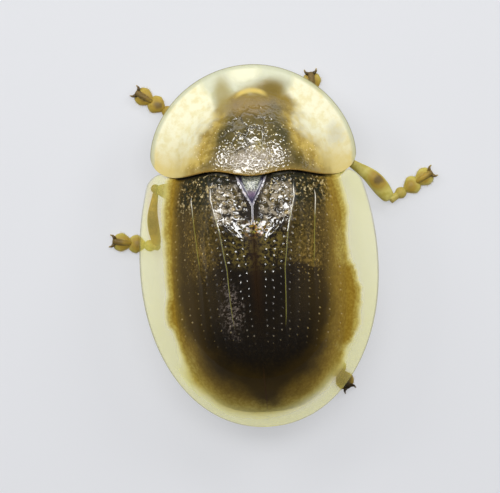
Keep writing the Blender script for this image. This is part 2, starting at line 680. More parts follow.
class Wiring:
    """Adds and links the nodes of one tree."""

    def __init__(self, tree):
        self.tree = tree

    def add(self, kind, inputs=None, **settings):
        node = self.tree.nodes.new(kind)
        for key, value in settings.items():
            setattr(node, key, value)
        for key, value in (inputs or {}).items():
            if isinstance(value, bpy.types.NodeSocket):
                self.tree.links.new(value, node.inputs[key])
            else:
                node.inputs[key].default_value = value
        return node

    def math(self, operation, a, b=0.0, clamp=False):
        made = self.add("ShaderNodeMath", {0: a, 1: b}, operation=operation)
        made.use_clamp = clamp
        return made.outputs[0]

    def product(self, *values):
        result = values[0]
        for value in values[1:]:
            result = self.math("MULTIPLY", result, value)
        return result

    def total(self, *values):
        result = values[0]
        for value in values[1:]:
            result = self.math("ADD", result, value)
        return result

    def less(self, value, taken):
        return self.math("SUBTRACT", value, taken)

    def vector(self, operation, a, b=(0.0, 0.0, 0.0)):
        made = self.add("ShaderNodeVectorMath", {0: a, 1: b}, operation=operation)
        return made.outputs["Value" if operation == "LENGTH" else "Vector"]

    def scaled(self, vector, size):
        return self.add("ShaderNodeVectorMath", {0: vector, "Scale": size}, operation="SCALE").outputs[0]

    def step(self, value, low, high, to_low=0.0, to_high=1.0):
        """A smooth rise of value from low to high. Where high is less than low it falls."""
        if high < low:
            low, high, to_low, to_high = high, low, to_high, to_low
        made = self.add(
            "ShaderNodeMapRange",
            {"Value": value, "From Min": low, "From Max": high, "To Min": to_low, "To Max": to_high},
            interpolation_type="SMOOTHSTEP",
        )
        return made.outputs["Result"]

    def mix(self, factor, a, b):
        made = self.add("ShaderNodeMix", {0: factor}, data_type="RGBA")
        for key, colour in ((6, a), (7, b)):
            if isinstance(colour, bpy.types.NodeSocket):
                self.tree.links.new(colour, made.inputs[key])
            else:
                made.inputs[key].default_value = (*colour, 1.0)
        return made.outputs[2]

    def paint(self, colour, tone, *shares):
        """The colour with a tone over it, as strong as the product of the shares."""
        return self.mix(self.product(*shares), colour, tone)

    def noise(self, point, size, detail=3.0, roughness=0.5):
        """Noise whose patches are about size across, from 0 to 1."""
        made = self.add(
            "ShaderNodeTexNoise",
            {"Vector": point, "Scale": 1 / size, "Detail": detail, "Roughness": roughness},
        )
        return made.outputs[0]

    def cells(self, point, size, feature="F1", jitter=1.0):
        made = self.add(
            "ShaderNodeTexVoronoi",
            {"Vector": point, "Scale": 1 / size, "Randomness": jitter},
            feature=feature,
        )
        return made.outputs["Distance"]

    def place(self, point):
        """X and Y of a point in the beetle's frame, in millimetres."""
        moved = self.vector("SUBTRACT", point, tuple(PLACE))
        parts = self.add("ShaderNodeSeparateXYZ", {0: moved})
        return self.math("DIVIDE", parts.outputs[0], MM), self.math("DIVIDE", parts.outputs[1], MM)

    def spot(self, point, centre, half, soft, warp=0.0):
        """1 inside an ellipse seen from above, in the beetle's frame, and 0 outside it."""
        middle = (centre[0] * MM + PLACE.x, centre[1] * MM + PLACE.y, 0.0)
        scaled = self.vector(
            "MULTIPLY",
            self.vector("SUBTRACT", point, middle),
            (1 / (half[0] * MM), 1 / (half[1] * MM), 0.0),
        )
        reach = self.vector("LENGTH", scaled)
        if not isinstance(warp, float):
            reach = self.total(reach, warp)
        return self.step(reach, 1 + soft, 1 - soft)


def material(name):
    """A new material with its wiring and its shader."""
    made = bpy.data.materials.new(name)
    made.use_nodes = True
    shader = made.node_tree.nodes["Principled BSDF"]
    return made, Wiring(made.node_tree), shader


def fit(wiring, shader, **sockets):
    """Sets or links a shader's sockets; an underscore in a name stands for a space."""
    for key, value in sockets.items():
        socket = shader.inputs[key.replace("_", " ")]
        if isinstance(value, bpy.types.NodeSocket):
            wiring.tree.links.new(value, socket)
        elif isinstance(value, tuple) and len(value) == 3 and socket.type == "RGBA":
            socket.default_value = (*value, 1.0)
        else:
            socket.default_value = value


def bumped(w, height, distance, strength=1.0):
    """A normal that tilts with a height."""
    node = w.add("ShaderNodeBump", {"Height": height, "Distance": distance, "Strength": strength})
    return node.outputs[0]


def colours():
    return bpy.context.scene.beetle_colours


def as_tuple(colour):
    return tuple(float(share) for share in colour)


def object_point(w):
    return w.add("ShaderNodeTexCoord").outputs["Object"]


def attribute(w, name):
    """A stored value, in a material."""
    return w.add("ShaderNodeAttribute", attribute_name=name).outputs["Fac"]


def centred(w, value, size):
    """A 0 to 1 value moved to run from -size / 2 to size / 2."""
    return w.product(w.less(value, 0.5), size)


# Patches in the finishes, as centre and half size in millimetres in the beetle's frame. A bulge adds
# how far it pushes the clear margin out, and each of the others adds its tone and its share. The
# margin's stains carry some of the colour of the legs under it.
MARGIN_BULGES = (
    ((-1.72, 1.28), (0.30, 0.74), 0.42),
    ((1.76, 1.22), (0.18, 0.26), 0.16),
    ((-1.68, -0.85), (0.28, 0.55), 0.15),
    ((1.70, -0.85), (0.28, 0.55), 0.13),
    ((-1.20, 2.40), (0.32, 0.30), 0.20),
    ((1.16, 2.62), (0.30, 0.24), 0.22),
)
MARGIN_STAINS = (
    ((1.98, -0.68), (0.13, 0.62), (0.66, 0.44, 0.10), 0.7),
    ((-1.47, 2.66), (0.19, 0.20), (0.50, 0.34, 0.11), 0.65),
)
PRONOTUM_PATCHES = (
    ((0.02, -2.76), (0.46, 0.24), (0.25, 0.165, 0.050), 0.9),
    ((0.52, -2.16), (0.22, 0.22), (0.058, 0.048, 0.014), 0.80),
    ((-0.66, -2.20), (0.26, 0.36), (0.070, 0.062, 0.024), 0.85),
    ((0.00, -2.05), (0.34, 0.34), (0.10, 0.085, 0.035), 0.7),
    ((-0.14, -1.88), (0.10, 0.12), (0.50, 0.40, 0.08), 0.6),
    ((0.03, -1.64), (0.54, 0.24), (0.40, 0.34, 0.26), 0.75),
)
HEAD_SHADES = (
    ((0.52, -2.92), (0.15, 0.32), (0.34, 0.27, 0.085), 0.8),
    ((-0.43, -3.02), (0.27, 0.19), (0.19, 0.135, 0.030), 0.9),
)


def wing_fields(w):
    """What the wing cases' finish is worked out from: places, stored values, noises and masks."""
    point = object_point(w)
    x, y = w.place(point)
    f = SimpleNamespace(point=point, x=x, y=y)
    for name in ("zone", "pit", "costa", "inner", "rough", "row", "column", "beside", "base"):
        setattr(f, name, attribute(w, name))
    f.patchy = centred(w, w.noise(point, 0.42 * MM, 3.0, 0.5), 0.5)
    f.fine = w.noise(point, 0.06 * MM, 4.0, 0.65)
    f.glitter = w.noise(point, 0.075 * MM, 3.0, 0.7)
    f.wavy_y = w.total(y, f.patchy)
    f.ahead = w.step(y, -0.38, -0.52)
    f.edge = w.less(w.total(f.zone, w.product(f.patchy, 0.4)), w.step(y, 1.7, 2.7, 0.0, 0.02))
    f.band = w.product(
        w.step(f.row, 4.1, 4.7), w.step(f.row, 7.2, 6.5), w.step(f.wavy_y, 0.15, -0.35),
        w.step(f.glitter, 0.66, 0.58),
    )
    width = w.step(y, -0.3, 1.8, 0.22, 0.14)
    across = w.total(w.math("DIVIDE", f.inner, width), w.product(f.patchy, 0.6))
    f.suture = w.product(w.step(across, 1.1, -0.2), w.step(y, -0.60, -0.25), w.step(y, 2.0, 0.5))
    far_side = w.step(w.total(f.beside, f.patchy), 0.17, 0.08)
    f.gutter = w.product(w.step(f.beside, 0.035, 0.055), far_side, f.ahead, 0.85)
    return f


def wing_disc(w, f):
    """The dark disc, brown toward its edge, with a golden worn patch on each side."""
    c = colours()
    colour = w.mix(w.step(f.fine, 0.45, 0.75), as_tuple(c.dark), (0.020, 0.013, 0.005))
    flank = w.product(w.step(f.edge, 0.26, 0.62), w.step(f.wavy_y, 1.9, 0.9))
    colour = w.paint(colour, (0.036, 0.022, 0.004), flank, 0.8)
    left = w.spot(f.point, (1.28, -0.42), (0.50, 0.86), 0.4, f.patchy)
    right = w.spot(f.point, (-1.28, -0.15), (0.56, 1.10), 0.4, f.patchy)
    border = w.total(f.y, w.product(w.total(f.x, 0.73), 0.256), w.product(f.patchy, 0.25))
    right = w.product(right, w.step(border, 0.41, 0.33))
    worn = w.mix(w.step(f.fine, 0.40, 0.62), (0.070, 0.044, 0.006), (0.24, 0.155, 0.030))
    colour = w.paint(colour, worn, w.math("MAXIMUM", left, right), 0.9)
    return w.paint(colour, as_tuple(c.brown), w.step(f.edge, 0.60, 0.88), 0.9)


def wing_ring(w, f, colour):
    """The ochre ring, with a dark wedge at the suture's end, and golden specks on the flanks."""
    ochre = w.mix(w.step(f.fine, 0.35, 0.70), (0.26, 0.155, 0.014), as_tuple(colours().ochre))
    late = w.mix(w.step(f.fine, 0.35, 0.70), (0.43, 0.31, 0.045), (0.58, 0.44, 0.09))
    ochre = w.paint(ochre, late, w.step(f.y, 1.7, 2.8), w.step(f.zone, 0.88, 1.0))
    wedge = w.product(w.step(w.math("ABSOLUTE", f.x), 0.45, 0.0, 0.0, 0.10), w.step(f.y, 1.8, 2.4))
    slant = w.math("MAXIMUM", w.step(f.x, -1.4, 1.4, 0.05, -0.06), w.step(f.y, 1.2, 1.9, -0.06, 0.015))
    ring = w.total(w.less(w.total(f.zone, w.product(f.patchy, 0.25)), wedge), slant)
    colour = w.paint(colour, ochre, w.step(ring, 0.80, 1.02))
    specks = w.product(
        w.step(w.noise(f.point, 0.045 * MM, 2.0, 0.6), 0.62, 0.70), w.step(f.y, 1.2, 0.0),
        w.step(f.zone, 0.30, 0.55), w.step(f.zone, 0.96, 0.80),
    )
    return w.paint(colour, (0.56, 0.37, 0.08), specks, 0.7)


def wing_base(w, f, colour):
    """Bright grains on a dark ground over the base, gilt humps and a dark band outside them."""
    base = w.product(w.step(f.wavy_y, -0.55, -0.95), w.step(f.edge, 0.98, 0.84))
    humps = w.step(f.rough, 0.62, 0.90)
    ground = w.mix(humps, (0.014, 0.015, 0.004), (0.10, 0.072, 0.020))
    colour = w.paint(colour, ground, base, w.step(f.glitter, 0.56, 0.44))
    colour = w.paint(colour, (0.66, 0.54, 0.28), base, w.step(f.glitter, 0.58, 0.66))
    gilt = w.mix(f.fine, (0.30, 0.22, 0.07), (0.52, 0.47, 0.42))
    colour = w.paint(colour, gilt, humps, w.step(w.noise(f.point, 0.11 * MM, 3.0, 0.6), 0.46, 0.60), 0.7)
    return w.paint(colour, (0.013, 0.014, 0.005), f.band, 0.5)


def wing_middle(w, f, colour):
    """A golden patch over the middle, the dark suture and the spark behind the scutellum."""
    patch = w.spot(f.point, (0.0, -0.02), (0.72, 0.42), 0.5, f.patchy)
    broken = w.step(w.noise(f.point, 0.07 * MM, 4.0, 0.7), 0.42, 0.62)
    colour = w.paint(colour, (0.17, 0.125, 0.026), patch, broken, 0.9)
    colour = w.paint(colour, (0.026, 0.012, 0.004), f.suture, 0.9)
    spark = w.product(w.spot(f.point, (0.02, -0.34), (0.20, 0.15), 0.6), w.step(f.fine, 0.50, 0.58))
    hue = w.mix(w.step(f.glitter, 0.45, 0.55), (0.50, 0.16, 0.02), (0.42, 0.38, 0.05))
    return w.paint(colour, hue, spark, 0.8)


def wing_rows(w, f, colour):
    """Honey pits, darker in the humps, and fine ridges that are white at their front ends."""
    honey = w.mix(w.step(f.zone, 0.35, 0.60), (0.60, 0.56, 0.50), (0.66, 0.48, 0.16))
    deep = w.mix(w.step(f.glitter, 0.42, 0.58), (0.12, 0.080, 0.020), (0.50, 0.34, 0.07))
    honey = w.mix(f.rough, honey, deep)
    colour = w.paint(colour, honey, f.pit, w.step(f.y, 2.1, 1.5), 0.8)
    ridge = w.mix(w.step(f.wavy_y, -0.45, -0.85), (0.26, 0.24, 0.045), (0.85, 0.80, 0.68))
    return w.paint(colour, ridge, w.step(f.costa, 0.30, 0.90))


def wing_inner_lines(w, f, colour):
    """A dark gutter and a broken lilac line beside the scutellum, joined behind it at the suture."""
    colour = w.paint(colour, (0.020, 0.015, 0.012), f.gutter)
    line = w.product(
        w.step(f.beside, 0.044, 0.028), w.step(f.beside, 0.004, 0.016), w.step(f.y, -0.74, -0.84),
        w.step(f.glitter, 0.42, 0.56),
    )
    joined = w.product(w.step(f.beside, 0.018, 0.006), f.ahead, 0.6)
    return w.paint(colour, (0.62, 0.58, 0.66), w.math("MAXIMUM", line, joined), 0.85)


def wing_wear(w, f, colour):
    """A worn crust on the left, the brown seam at the tail and the shade under the pronotum."""
    ragged = centred(w, w.noise(f.point, 0.18 * MM, 4.0), 2.5)
    crust = w.spot(f.point, (0.56, 1.20), (0.20, 0.42), 0.5, ragged)
    grains = w.step(w.noise(f.point, 0.05 * MM, 4.0, 0.7), 0.48, 0.62)
    colour = w.paint(colour, (0.30, 0.24, 0.20), crust, grains, 0.6)
    seam = w.product(w.step(f.inner, 0.026, 0.006), w.step(f.y, 2.2, 2.8))
    colour = w.paint(colour, (0.060, 0.028, 0.008), seam, 0.8)
    return w.paint(colour, (0.006, 0.004, 0.003), w.step(f.base, 0.075, 0.03), w.step(f.zone, 1.1, 0.95))


def margin_zone(w, f):
    """The zone, less where the amber ring runs further out."""
    outer = w.less(f.edge, w.product(w.step(f.x, -0.3, 0.3, 0.0, 0.11), w.step(f.y, 2.3, 1.4)))
    ragged = centred(w, w.noise(f.point, 0.22 * MM, 4.0, 0.6), 1.1)
    for centre, half, share in MARGIN_BULGES:
        outer = w.less(outer, w.product(w.spot(f.point, centre, half, 0.45, ragged), share))
    return outer


def tail_zone(w, f):
    """Nearly 1 on the outer edge behind the middle, by true distance."""
    aside = w.math("DIVIDE", f.x, HALF_WIDTH / MM)
    behind = w.math("DIVIDE", w.less(f.y, WIDEST_Y / MM), (TAIL_Y - WIDEST_Y) / MM)
    reach = w.math("SQRT", w.total(w.product(aside, aside), w.product(behind, behind)))
    return w.total(w.less(reach, w.product(f.x, 0.015)), w.product(f.patchy, 0.08))


def wing_margin(w, f, colour):
    """The colour with the clear margin round it, and how clear it is."""
    outer, reach = margin_zone(w, f), tail_zone(w, f)
    slow, tail = w.step(f.y, 1.6, 2.5), w.step(f.y, 2.1, 2.8)

    def margin(ahead, behind, last):
        """0 on the disc and 1 in the margin, with a range for each part of its way round."""
        sides = w.mix(slow, w.step(outer, *ahead), w.step(outer, *behind))
        return w.mix(tail, sides, w.step(reach, *last))

    haze = w.noise(f.point, 0.25 * MM, 3.0)
    pale = w.mix(haze, as_tuple(colours().clear), (0.95, 0.92, 0.25))
    pale = w.paint(pale, (0.93, 0.86, 0.30), w.step(outer, 1.60, 1.10))
    for centre, half, tone, share in MARGIN_STAINS:
        pale = w.paint(pale, tone, w.spot(f.point, centre, half, 0.5, centred(w, haze, 0.6)), share)
    pale = w.paint(pale, (0.42, 0.40, 0.14), w.step(f.column, 1.955, 1.985))
    amber = w.mix(w.step(f.fine, 0.35, 0.70), (0.36, 0.25, 0.040), (0.54, 0.43, 0.095))
    colour = w.paint(colour, amber, w.step(outer, 0.87, 1.03))
    colour = w.paint(colour, pale, margin((1.02, 1.28), (0.90, 1.36), (0.875, 0.950)))
    clear = margin((1.04, 1.30), (0.98, 1.52), (0.885, 0.965))
    rim = w.step(f.zone, 2.0, 1.97, 0.55, 0.78)
    return colour, w.product(clear, rim, w.step(f.y, 0.3, 1.8, 1.0, 0.94))


def wing_gloss(w, f):
    """Weight of the glossy coat, full on the disc's top and in the pits."""
    gloss = w.math("MAXIMUM", w.step(f.zone, 0.72, 0.40, 0.02, 1.0), w.product(f.pit, 0.9))
    dull = w.math("MAXIMUM", f.gutter, w.product(f.band, 0.7))
    return w.product(gloss, w.less(1.0, w.product(f.suture, 0.9)), w.less(1.0, dull))


def wing_finish():
    """Dark disc in a brown and ochre ring, then the clear margin, with honey pits and pale ridges."""
    made, w, shader = material("wing_case")
    f = wing_fields(w)
    colour = wing_disc(w, f)
    for layer in (wing_ring, wing_base, wing_middle, wing_rows, wing_inner_lines, wing_wear):
        colour = layer(w, f, colour)
    colour, clear = wing_margin(w, f, colour)
    relief = w.total(w.product(f.fine, 0.6), w.noise(f.point, 0.018 * MM, 2.0))
    fit(
        w, shader, Base_Color=colour, Alpha=w.less(1.0, clear), Roughness=0.45, IOR=1.5,
        Specular_IOR_Level=0.08, Coat_Weight=wing_gloss(w, f), Coat_Roughness=0.10, Coat_IOR=2.0,
        Normal=bumped(w, relief, 0.003 * MM, 0.5),
    )
    return made


def pronotum_fields(w):
    """What the pronotum's finish is worked out from: places, stored values, noises and masks."""
    point = object_point(w)
    x, y = w.place(point)
    f = SimpleNamespace(point=point, x=x, y=y)
    for name in ("disc", "lobe", "crack", "hind", "rim"):
        setattr(f, name, attribute(w, name))
    f.patchy = centred(w, w.noise(point, 0.42 * MM, 2.5, 0.5), 0.55)
    f.mottle = w.noise(point, 0.16 * MM, 5.0, 0.62)
    f.pricks = w.cells(point, 0.075 * MM)
    f.edge = w.total(f.disc, f.patchy)
    f.side = w.total(f.lobe, f.patchy)
    f.white = w.spot(point, (0.08, -3.35), (0.30, 0.19), 0.6, f.patchy)
    f.rim_band = w.step(f.rim, 0.055, 0.02)
    return f


def pronotum_disc(w, f):
    """Olive with its patches and cracks, golden at the sides, with pale flecks."""
    olive = w.mix(w.step(f.mottle, 0.35, 0.7), as_tuple(colours().olive), (0.19, 0.14, 0.040))
    for centre, half, tone, share in PRONOTUM_PATCHES:
        olive = w.paint(olive, tone, w.spot(f.point, centre, half, 0.7, w.product(f.patchy, 2.0)), share)
    olive = w.paint(olive, (0.030, 0.024, 0.010), f.crack, 0.7)
    golden = w.mix(w.step(f.mottle, 0.35, 0.65), (0.28, 0.190, 0.028), (0.46, 0.330, 0.070))
    golden = w.paint(golden, (0.24, 0.165, 0.035), w.step(f.y, -2.45, -2.80, 0.0, 0.8))
    late = w.mix(w.step(f.mottle, 0.35, 0.65), (0.42, 0.28, 0.040), (0.66, 0.48, 0.11))
    golden = w.paint(golden, late, w.step(f.y, -2.25, -1.90, 0.0, 0.9))
    olive = w.paint(olive, golden, w.step(f.edge, 0.42, 0.04))
    flecks = w.product(w.step(f.pricks, 0.25, 0.12), w.step(w.noise(f.point, 0.10 * MM, 2.0), 0.38, 0.52))
    olive = w.paint(olive, (0.88, 0.74, 0.38), flecks, w.step(f.y, -2.5, -2.1, 0.1, 0.9))
    return w.paint(olive, (0.34, 0.235, 0.060), w.step(f.hind, 0.16, 0.03), 0.6)


def pronotum_sides(w, f):
    """Cream at the sides, yellower at the hind corners, greener in front with a white patch."""
    cream = w.mix(w.step(f.mottle, 0.42, 0.66), as_tuple(colours().cream), (0.80, 0.73, 0.42))
    corner = w.step(w.total(f.y, w.product(f.patchy, 1.5)), -2.20, -1.45)
    cream = w.paint(cream, (0.72, 0.56, 0.17), corner, 0.85)
    blotch = w.spot(f.point, (-1.61, -2.06), (0.15, 0.20), 0.7, centred(w, f.mottle, 2.0))
    cream = w.paint(cream, (0.42, 0.38, 0.28), blotch, 0.4)
    front = w.mix(f.mottle, (0.70, 0.71, 0.46), (0.82, 0.83, 0.60))
    pale = w.mix(w.step(f.side, 0.10, 0.80), front, cream)
    return w.paint(pale, (0.86, 0.84, 0.62), f.white, 0.8)


def pronotum_shades(w, f, colour):
    """The colour with the head's two shades over it, and how strong they are."""
    shades = 0.0
    for centre, half, tone, share in HEAD_SHADES:
        shade = w.product(w.spot(f.point, centre, half, 0.7, w.product(f.patchy, 1.4)), share)
        colour = w.paint(colour, tone, shade)
        shades = w.math("MAXIMUM", shade, shades)
    return colour, shades


def pronotum_lines(w, f, colour):
    """The golden arc ahead of the disc, the amber hind rim and the green outer rim."""
    away = w.less(f.x, -0.04)
    arc = w.total(w.less(f.y, w.product(away, away, 1.1)), 2.99)
    arc, away = w.math("ABSOLUTE", arc), w.math("ABSOLUTE", away)
    arc = w.product(w.step(arc, 0.075, 0.01), w.step(away, 0.36, 0.18))
    colour = w.paint(colour, (0.72, 0.54, 0.14), arc, 0.8)
    colour = w.paint(colour, (0.30, 0.17, 0.03), w.step(f.hind, 0.028, 0.012), w.step(f.disc, -0.3, 0.1))
    colour = w.paint(colour, (0.58, 0.60, 0.36), f.rim_band, 0.7)
    return w.paint(colour, (0.36, 0.35, 0.18), w.step(f.rim, 0.010, 0.004))


def pronotum_alpha(w, f, shades):
    """Clearer in front and along the rim, solid over the disc."""
    clear = w.product(
        w.step(f.side, 0.75, 0.1), w.step(f.edge, 0.02, -0.14),
        w.step(w.math("MAXIMUM", f.white, shades), 1.0, 0.0, 0.15, 1.0),
    )
    clear = w.math("MAXIMUM", clear, w.product(f.rim_band, 0.8))
    return w.math("MAXIMUM", w.less(0.96, w.product(clear, 0.42)), w.step(f.edge, -0.1, 0.05))


def pronotum_finish():
    """A golden-olive disc, crackled in the middle, between creamy sides and a clearer front."""
    made, w, shader = material("pronotum")
    f = pronotum_fields(w)
    colour = w.mix(w.step(f.edge, -0.20, 0.12), pronotum_sides(w, f), pronotum_disc(w, f))
    colour, shades = pronotum_shades(w, f, colour)
    colour = pronotum_lines(w, f, colour)
    grain = w.noise(f.point, 0.03 * MM, 3.0, 0.6)
    relief = w.total(w.step(f.pricks, 0.0, 0.35), w.product(grain, 0.5))
    gloss = w.product(w.step(f.edge, -0.05, 0.50, 0.03, 0.9), w.step(f.hind, 0.02, 0.08, 0.2, 1.0))
    fit(
        w, shader, Base_Color=colour, Alpha=pronotum_alpha(w, f, shades), Roughness=0.5, IOR=1.5,
        Specular_IOR_Level=0.08, Coat_Weight=gloss, Coat_Roughness=0.06, Coat_IOR=2.0,
        Normal=bumped(w, relief, 0.002 * MM, 0.5),
    )
    return made


def scutellum_finish():
    """Steel grey with pale grains, purplish behind and blue-black along its sides."""
    made, w, shader = material("scutellum")
    point = object_point(w)
    grain = w.noise(point, 0.03 * MM, 4.0, 0.6)
    edge = attribute(w, "edge")
    colour = w.mix(w.step(grain, 0.45, 0.58), as_tuple(colours().steel), (0.46, 0.47, 0.36))
    colour = w.paint(colour, (0.13, 0.08, 0.14), w.step(w.place(point)[1], -1.12, -0.98))
    colour = w.paint(colour, (0.012, 0.009, 0.040), w.step(edge, 0.62, 0.86))
    fit(
        w, shader, Base_Color=colour, Roughness=0.28, Metallic=0.3, Coat_Weight=0.8,
        Coat_Roughness=0.08, Normal=bumped(w, grain, 0.016 * MM, 1.0),
    )
    return made


def belly_finish():
    """Dark brown with fine pricks, paler where a piece carries more tint."""
    made, w, shader = material("underside")
    point = object_point(w)
    grain = w.noise(point, 0.05 * MM, 4.0, 0.6)
    pricks = w.cells(point, 0.07 * MM)
    colour = w.mix(w.step(grain, 0.3, 0.75), as_tuple(colours().belly), (0.085, 0.052, 0.022))
    colour = w.paint(colour, (0.30, 0.18, 0.06), attribute(w, "tint"))
    colour = w.paint(colour, (0.02, 0.013, 0.008), w.step(pricks, 0.2, 0.05))
    relief = w.total(w.step(pricks, 0.05, 0.35), w.product(grain, 0.4))
    fit(
        w, shader, Base_Color=colour, Roughness=w.step(grain, 0.2, 0.9, 0.28, 0.5), Coat_Weight=0.35,
        Coat_Roughness=0.15, Normal=bumped(w, relief, 0.010 * MM, 0.8),
    )
    return made


def limb_finish(name, coat):
    """Straw yellow, then amber, brown and nearly black the more tint a piece carries."""
    made, w, shader = material(name)
    c = colours()
    point = object_point(w)
    grain = w.noise(point, 0.035 * MM, 4.0, 0.6)
    blotch = w.noise(point, 0.16 * MM, 3.0, 0.55)
    tint = w.total(attribute(w, "tint"), centred(w, blotch, 0.8))
    straw = w.mix(w.step(blotch, 0.35, 0.65), as_tuple(c.straw), (0.64, 0.57, 0.16))
    colour = w.paint(straw, as_tuple(c.amber), w.step(tint, 0.10, 0.80))
    colour = w.paint(colour, (0.170, 0.112, 0.030), w.step(tint, 0.85, 1.40))
    colour = w.paint(colour, (0.040, 0.028, 0.011), w.step(tint, 1.50, 2.20))
    fit(
        w, shader, Base_Color=colour, Roughness=w.step(grain, 0.2, 0.9, 0.45, 0.6), Coat_Weight=coat,
        Coat_Roughness=0.25, Specular_IOR_Level=0.2, Subsurface_Weight=0.10, Subsurface_Scale=0.15 * MM,
        Subsurface_Radius=(1.0, 0.6, 0.25), Normal=bumped(w, grain, 0.008 * MM, 0.6),
    )
    return made


def eye_finish():
    """Glossy black in small domed facets."""
    made, w, shader = material("eye")
    point = object_point(w)
    facets = w.cells(point, 0.020 * MM, jitter=0.25)
    colour = w.mix(w.step(facets, 0.2, 0.6), as_tuple(colours().eye), (0.05, 0.035, 0.03))
    fit(
        w, shader, Base_Color=colour, Roughness=0.22, Coat_Weight=1.0, Coat_Roughness=0.05,
        Normal=bumped(w, w.step(facets, 0.7, 0.0), 0.006 * MM, 1.0),
    )
    return made


def bristle_finish():
    """Pale straw, darker in places."""
    made, w, shader = material("bristle")
    shade = w.noise(object_point(w), 0.08 * MM, 2.0)
    colour = w.mix(shade, (0.50, 0.40, 0.18), (0.72, 0.62, 0.36))
    fit(w, shader, Base_Color=colour, Roughness=0.5)
    return made


# Geometry node trees

def node_modifier(obj, name, sockets, build):
    """Runs a tree of geometry nodes on an object and keeps the result as its plain mesh."""
    tree = bpy.data.node_groups.new(name, "GeometryNodeTree")
    tree.interface.new_socket("Geometry", in_out="OUTPUT", socket_type="NodeSocketGeometry")
    tree.interface.new_socket("Geometry", in_out="INPUT", socket_type="NodeSocketGeometry")
    keys = {}
    for key, (kind, value) in sockets.items():
        made = tree.interface.new_socket(key, in_out="INPUT", socket_type=kind)
        if kind != "NodeSocketMaterial":
            made.default_value = value
        keys[key] = made.identifier
    w = Wiring(tree)
    start, end = w.add("NodeGroupInput"), w.add("NodeGroupOutput")
    result = build(w, start.outputs)
    realised = w.add("GeometryNodeRealizeInstances", {0: result}).outputs[0]
    finished = w.add("GeometryNodeSetMaterial", {0: realised, "Material": start.outputs["Material"]})
    tree.links.new(finished.outputs[0], end.inputs[0])
    modifier = obj.modifiers.new(name, "NODES")
    modifier.node_group = tree
    for key, (kind, value) in sockets.items():
        modifier[keys[key]] = value
    graph = bpy.context.evaluated_depsgraph_get()
    mesh = bpy.data.meshes.new_from_object(obj.evaluated_get(graph), depsgraph=graph)
    obj.modifiers.remove(modifier)
    old = obj.data
    obj.data = mesh
    mesh.name = obj.name
    bpy.data.meshes.remove(old)
    bpy.data.node_groups.remove(tree)


def field(w, name):
    """A stored value, in geometry nodes."""
    return w.add("GeometryNodeInputNamedAttribute", {"Name": name}, data_type="FLOAT").outputs[0]


def keep_field(w, geometry, name, value):
    made = w.add(
        "GeometryNodeStoreNamedAttribute", {"Geometry": geometry, "Name": name, "Value": value},
        data_type="FLOAT", domain="POINT",
    )
    return made.outputs[0]


def random_field(w, low, high, number, seed):
    made = w.add(
        "FunctionNodeRandomValue", {2: low, 3: high, "ID": number, "Seed": seed}, data_type="FLOAT",
    )
    return made.outputs[1]


def pushed_along_normal(w, geometry, height):
    normal = w.add("GeometryNodeInputNormal").outputs[0]
    offset = w.scaled(normal, height)
    return w.add("GeometryNodeSetPosition", {"Geometry": geometry, "Offset": offset}).outputs[0]


def pitted(w, given):
    """Rows of round pits: "row" counts across the striae, "pitch" is their width, "run" goes along."""
    row, run, pitch = field(w, "row"), field(w, "run"), field(w, "pitch")
    rough, pitting = field(w, "rough"), field(w, "pitting")
    seed, spacing = given["Seed"], given["Spacing"]
    number = w.math("FLOOR", row)
    step = w.total(w.math("DIVIDE", run, spacing), random_field(w, 0.0, 1.0, number, seed))
    place = w.math("FLOOR", step)
    key = w.total(w.product(number, 500.0), place)

    def drawn(low, high, shift):
        """A number drawn anew for each pit."""
        return random_field(w, low, high, key, w.total(seed, shift))

    slide = w.product(drawn(-0.10, 0.10, 3.0), pitch)
    x = w.total(w.product(w.less(w.math("FRACT", row), 0.5), pitch), slide)
    shift = w.product(random_field(w, -0.16, 0.16, key, seed), spacing)
    y = w.total(w.product(w.less(w.less(step, place), 0.5), spacing), shift)
    reach = w.math("SQRT", w.total(w.product(x, x), w.product(y, y)))
    wide = w.product(drawn(0.75, 1.2, 9.0), w.total(w.product(rough, drawn(0.4, 1.5, 5.0)), 1.0))
    share = w.math("DIVIDE", reach, w.product(given["Radius"], wide))
    bowl = w.math("SUBTRACT", 1.0, w.product(share, share), clamp=True)
    bright = w.product(w.math("POWER", drawn(0.2, 1.0, 7.0), 1.6), pitting)
    core = w.product(share, w.less(1.7, w.product(rough, 0.7)))
    geometry = keep_field(w, given["Geometry"], "pit", w.product(w.step(core, 1.0, 0.5), bright))
    lip = w.product(w.step(share, 1.6, 1.0), w.step(share, 0.8, 1.0), 0.20)
    deep = w.product(w.less(lip, bowl), pitting, given["Depth"], w.total(w.product(rough, 1.6), 1.0))
    point = w.add("GeometryNodeInputPosition").outputs[0]
    waves = w.product(centred(w, w.noise(point, 0.15 * MM, 2.0, 0.4), 1.0), rough, given["Waves"])
    return pushed_along_normal(w, geometry, w.total(deep, waves))


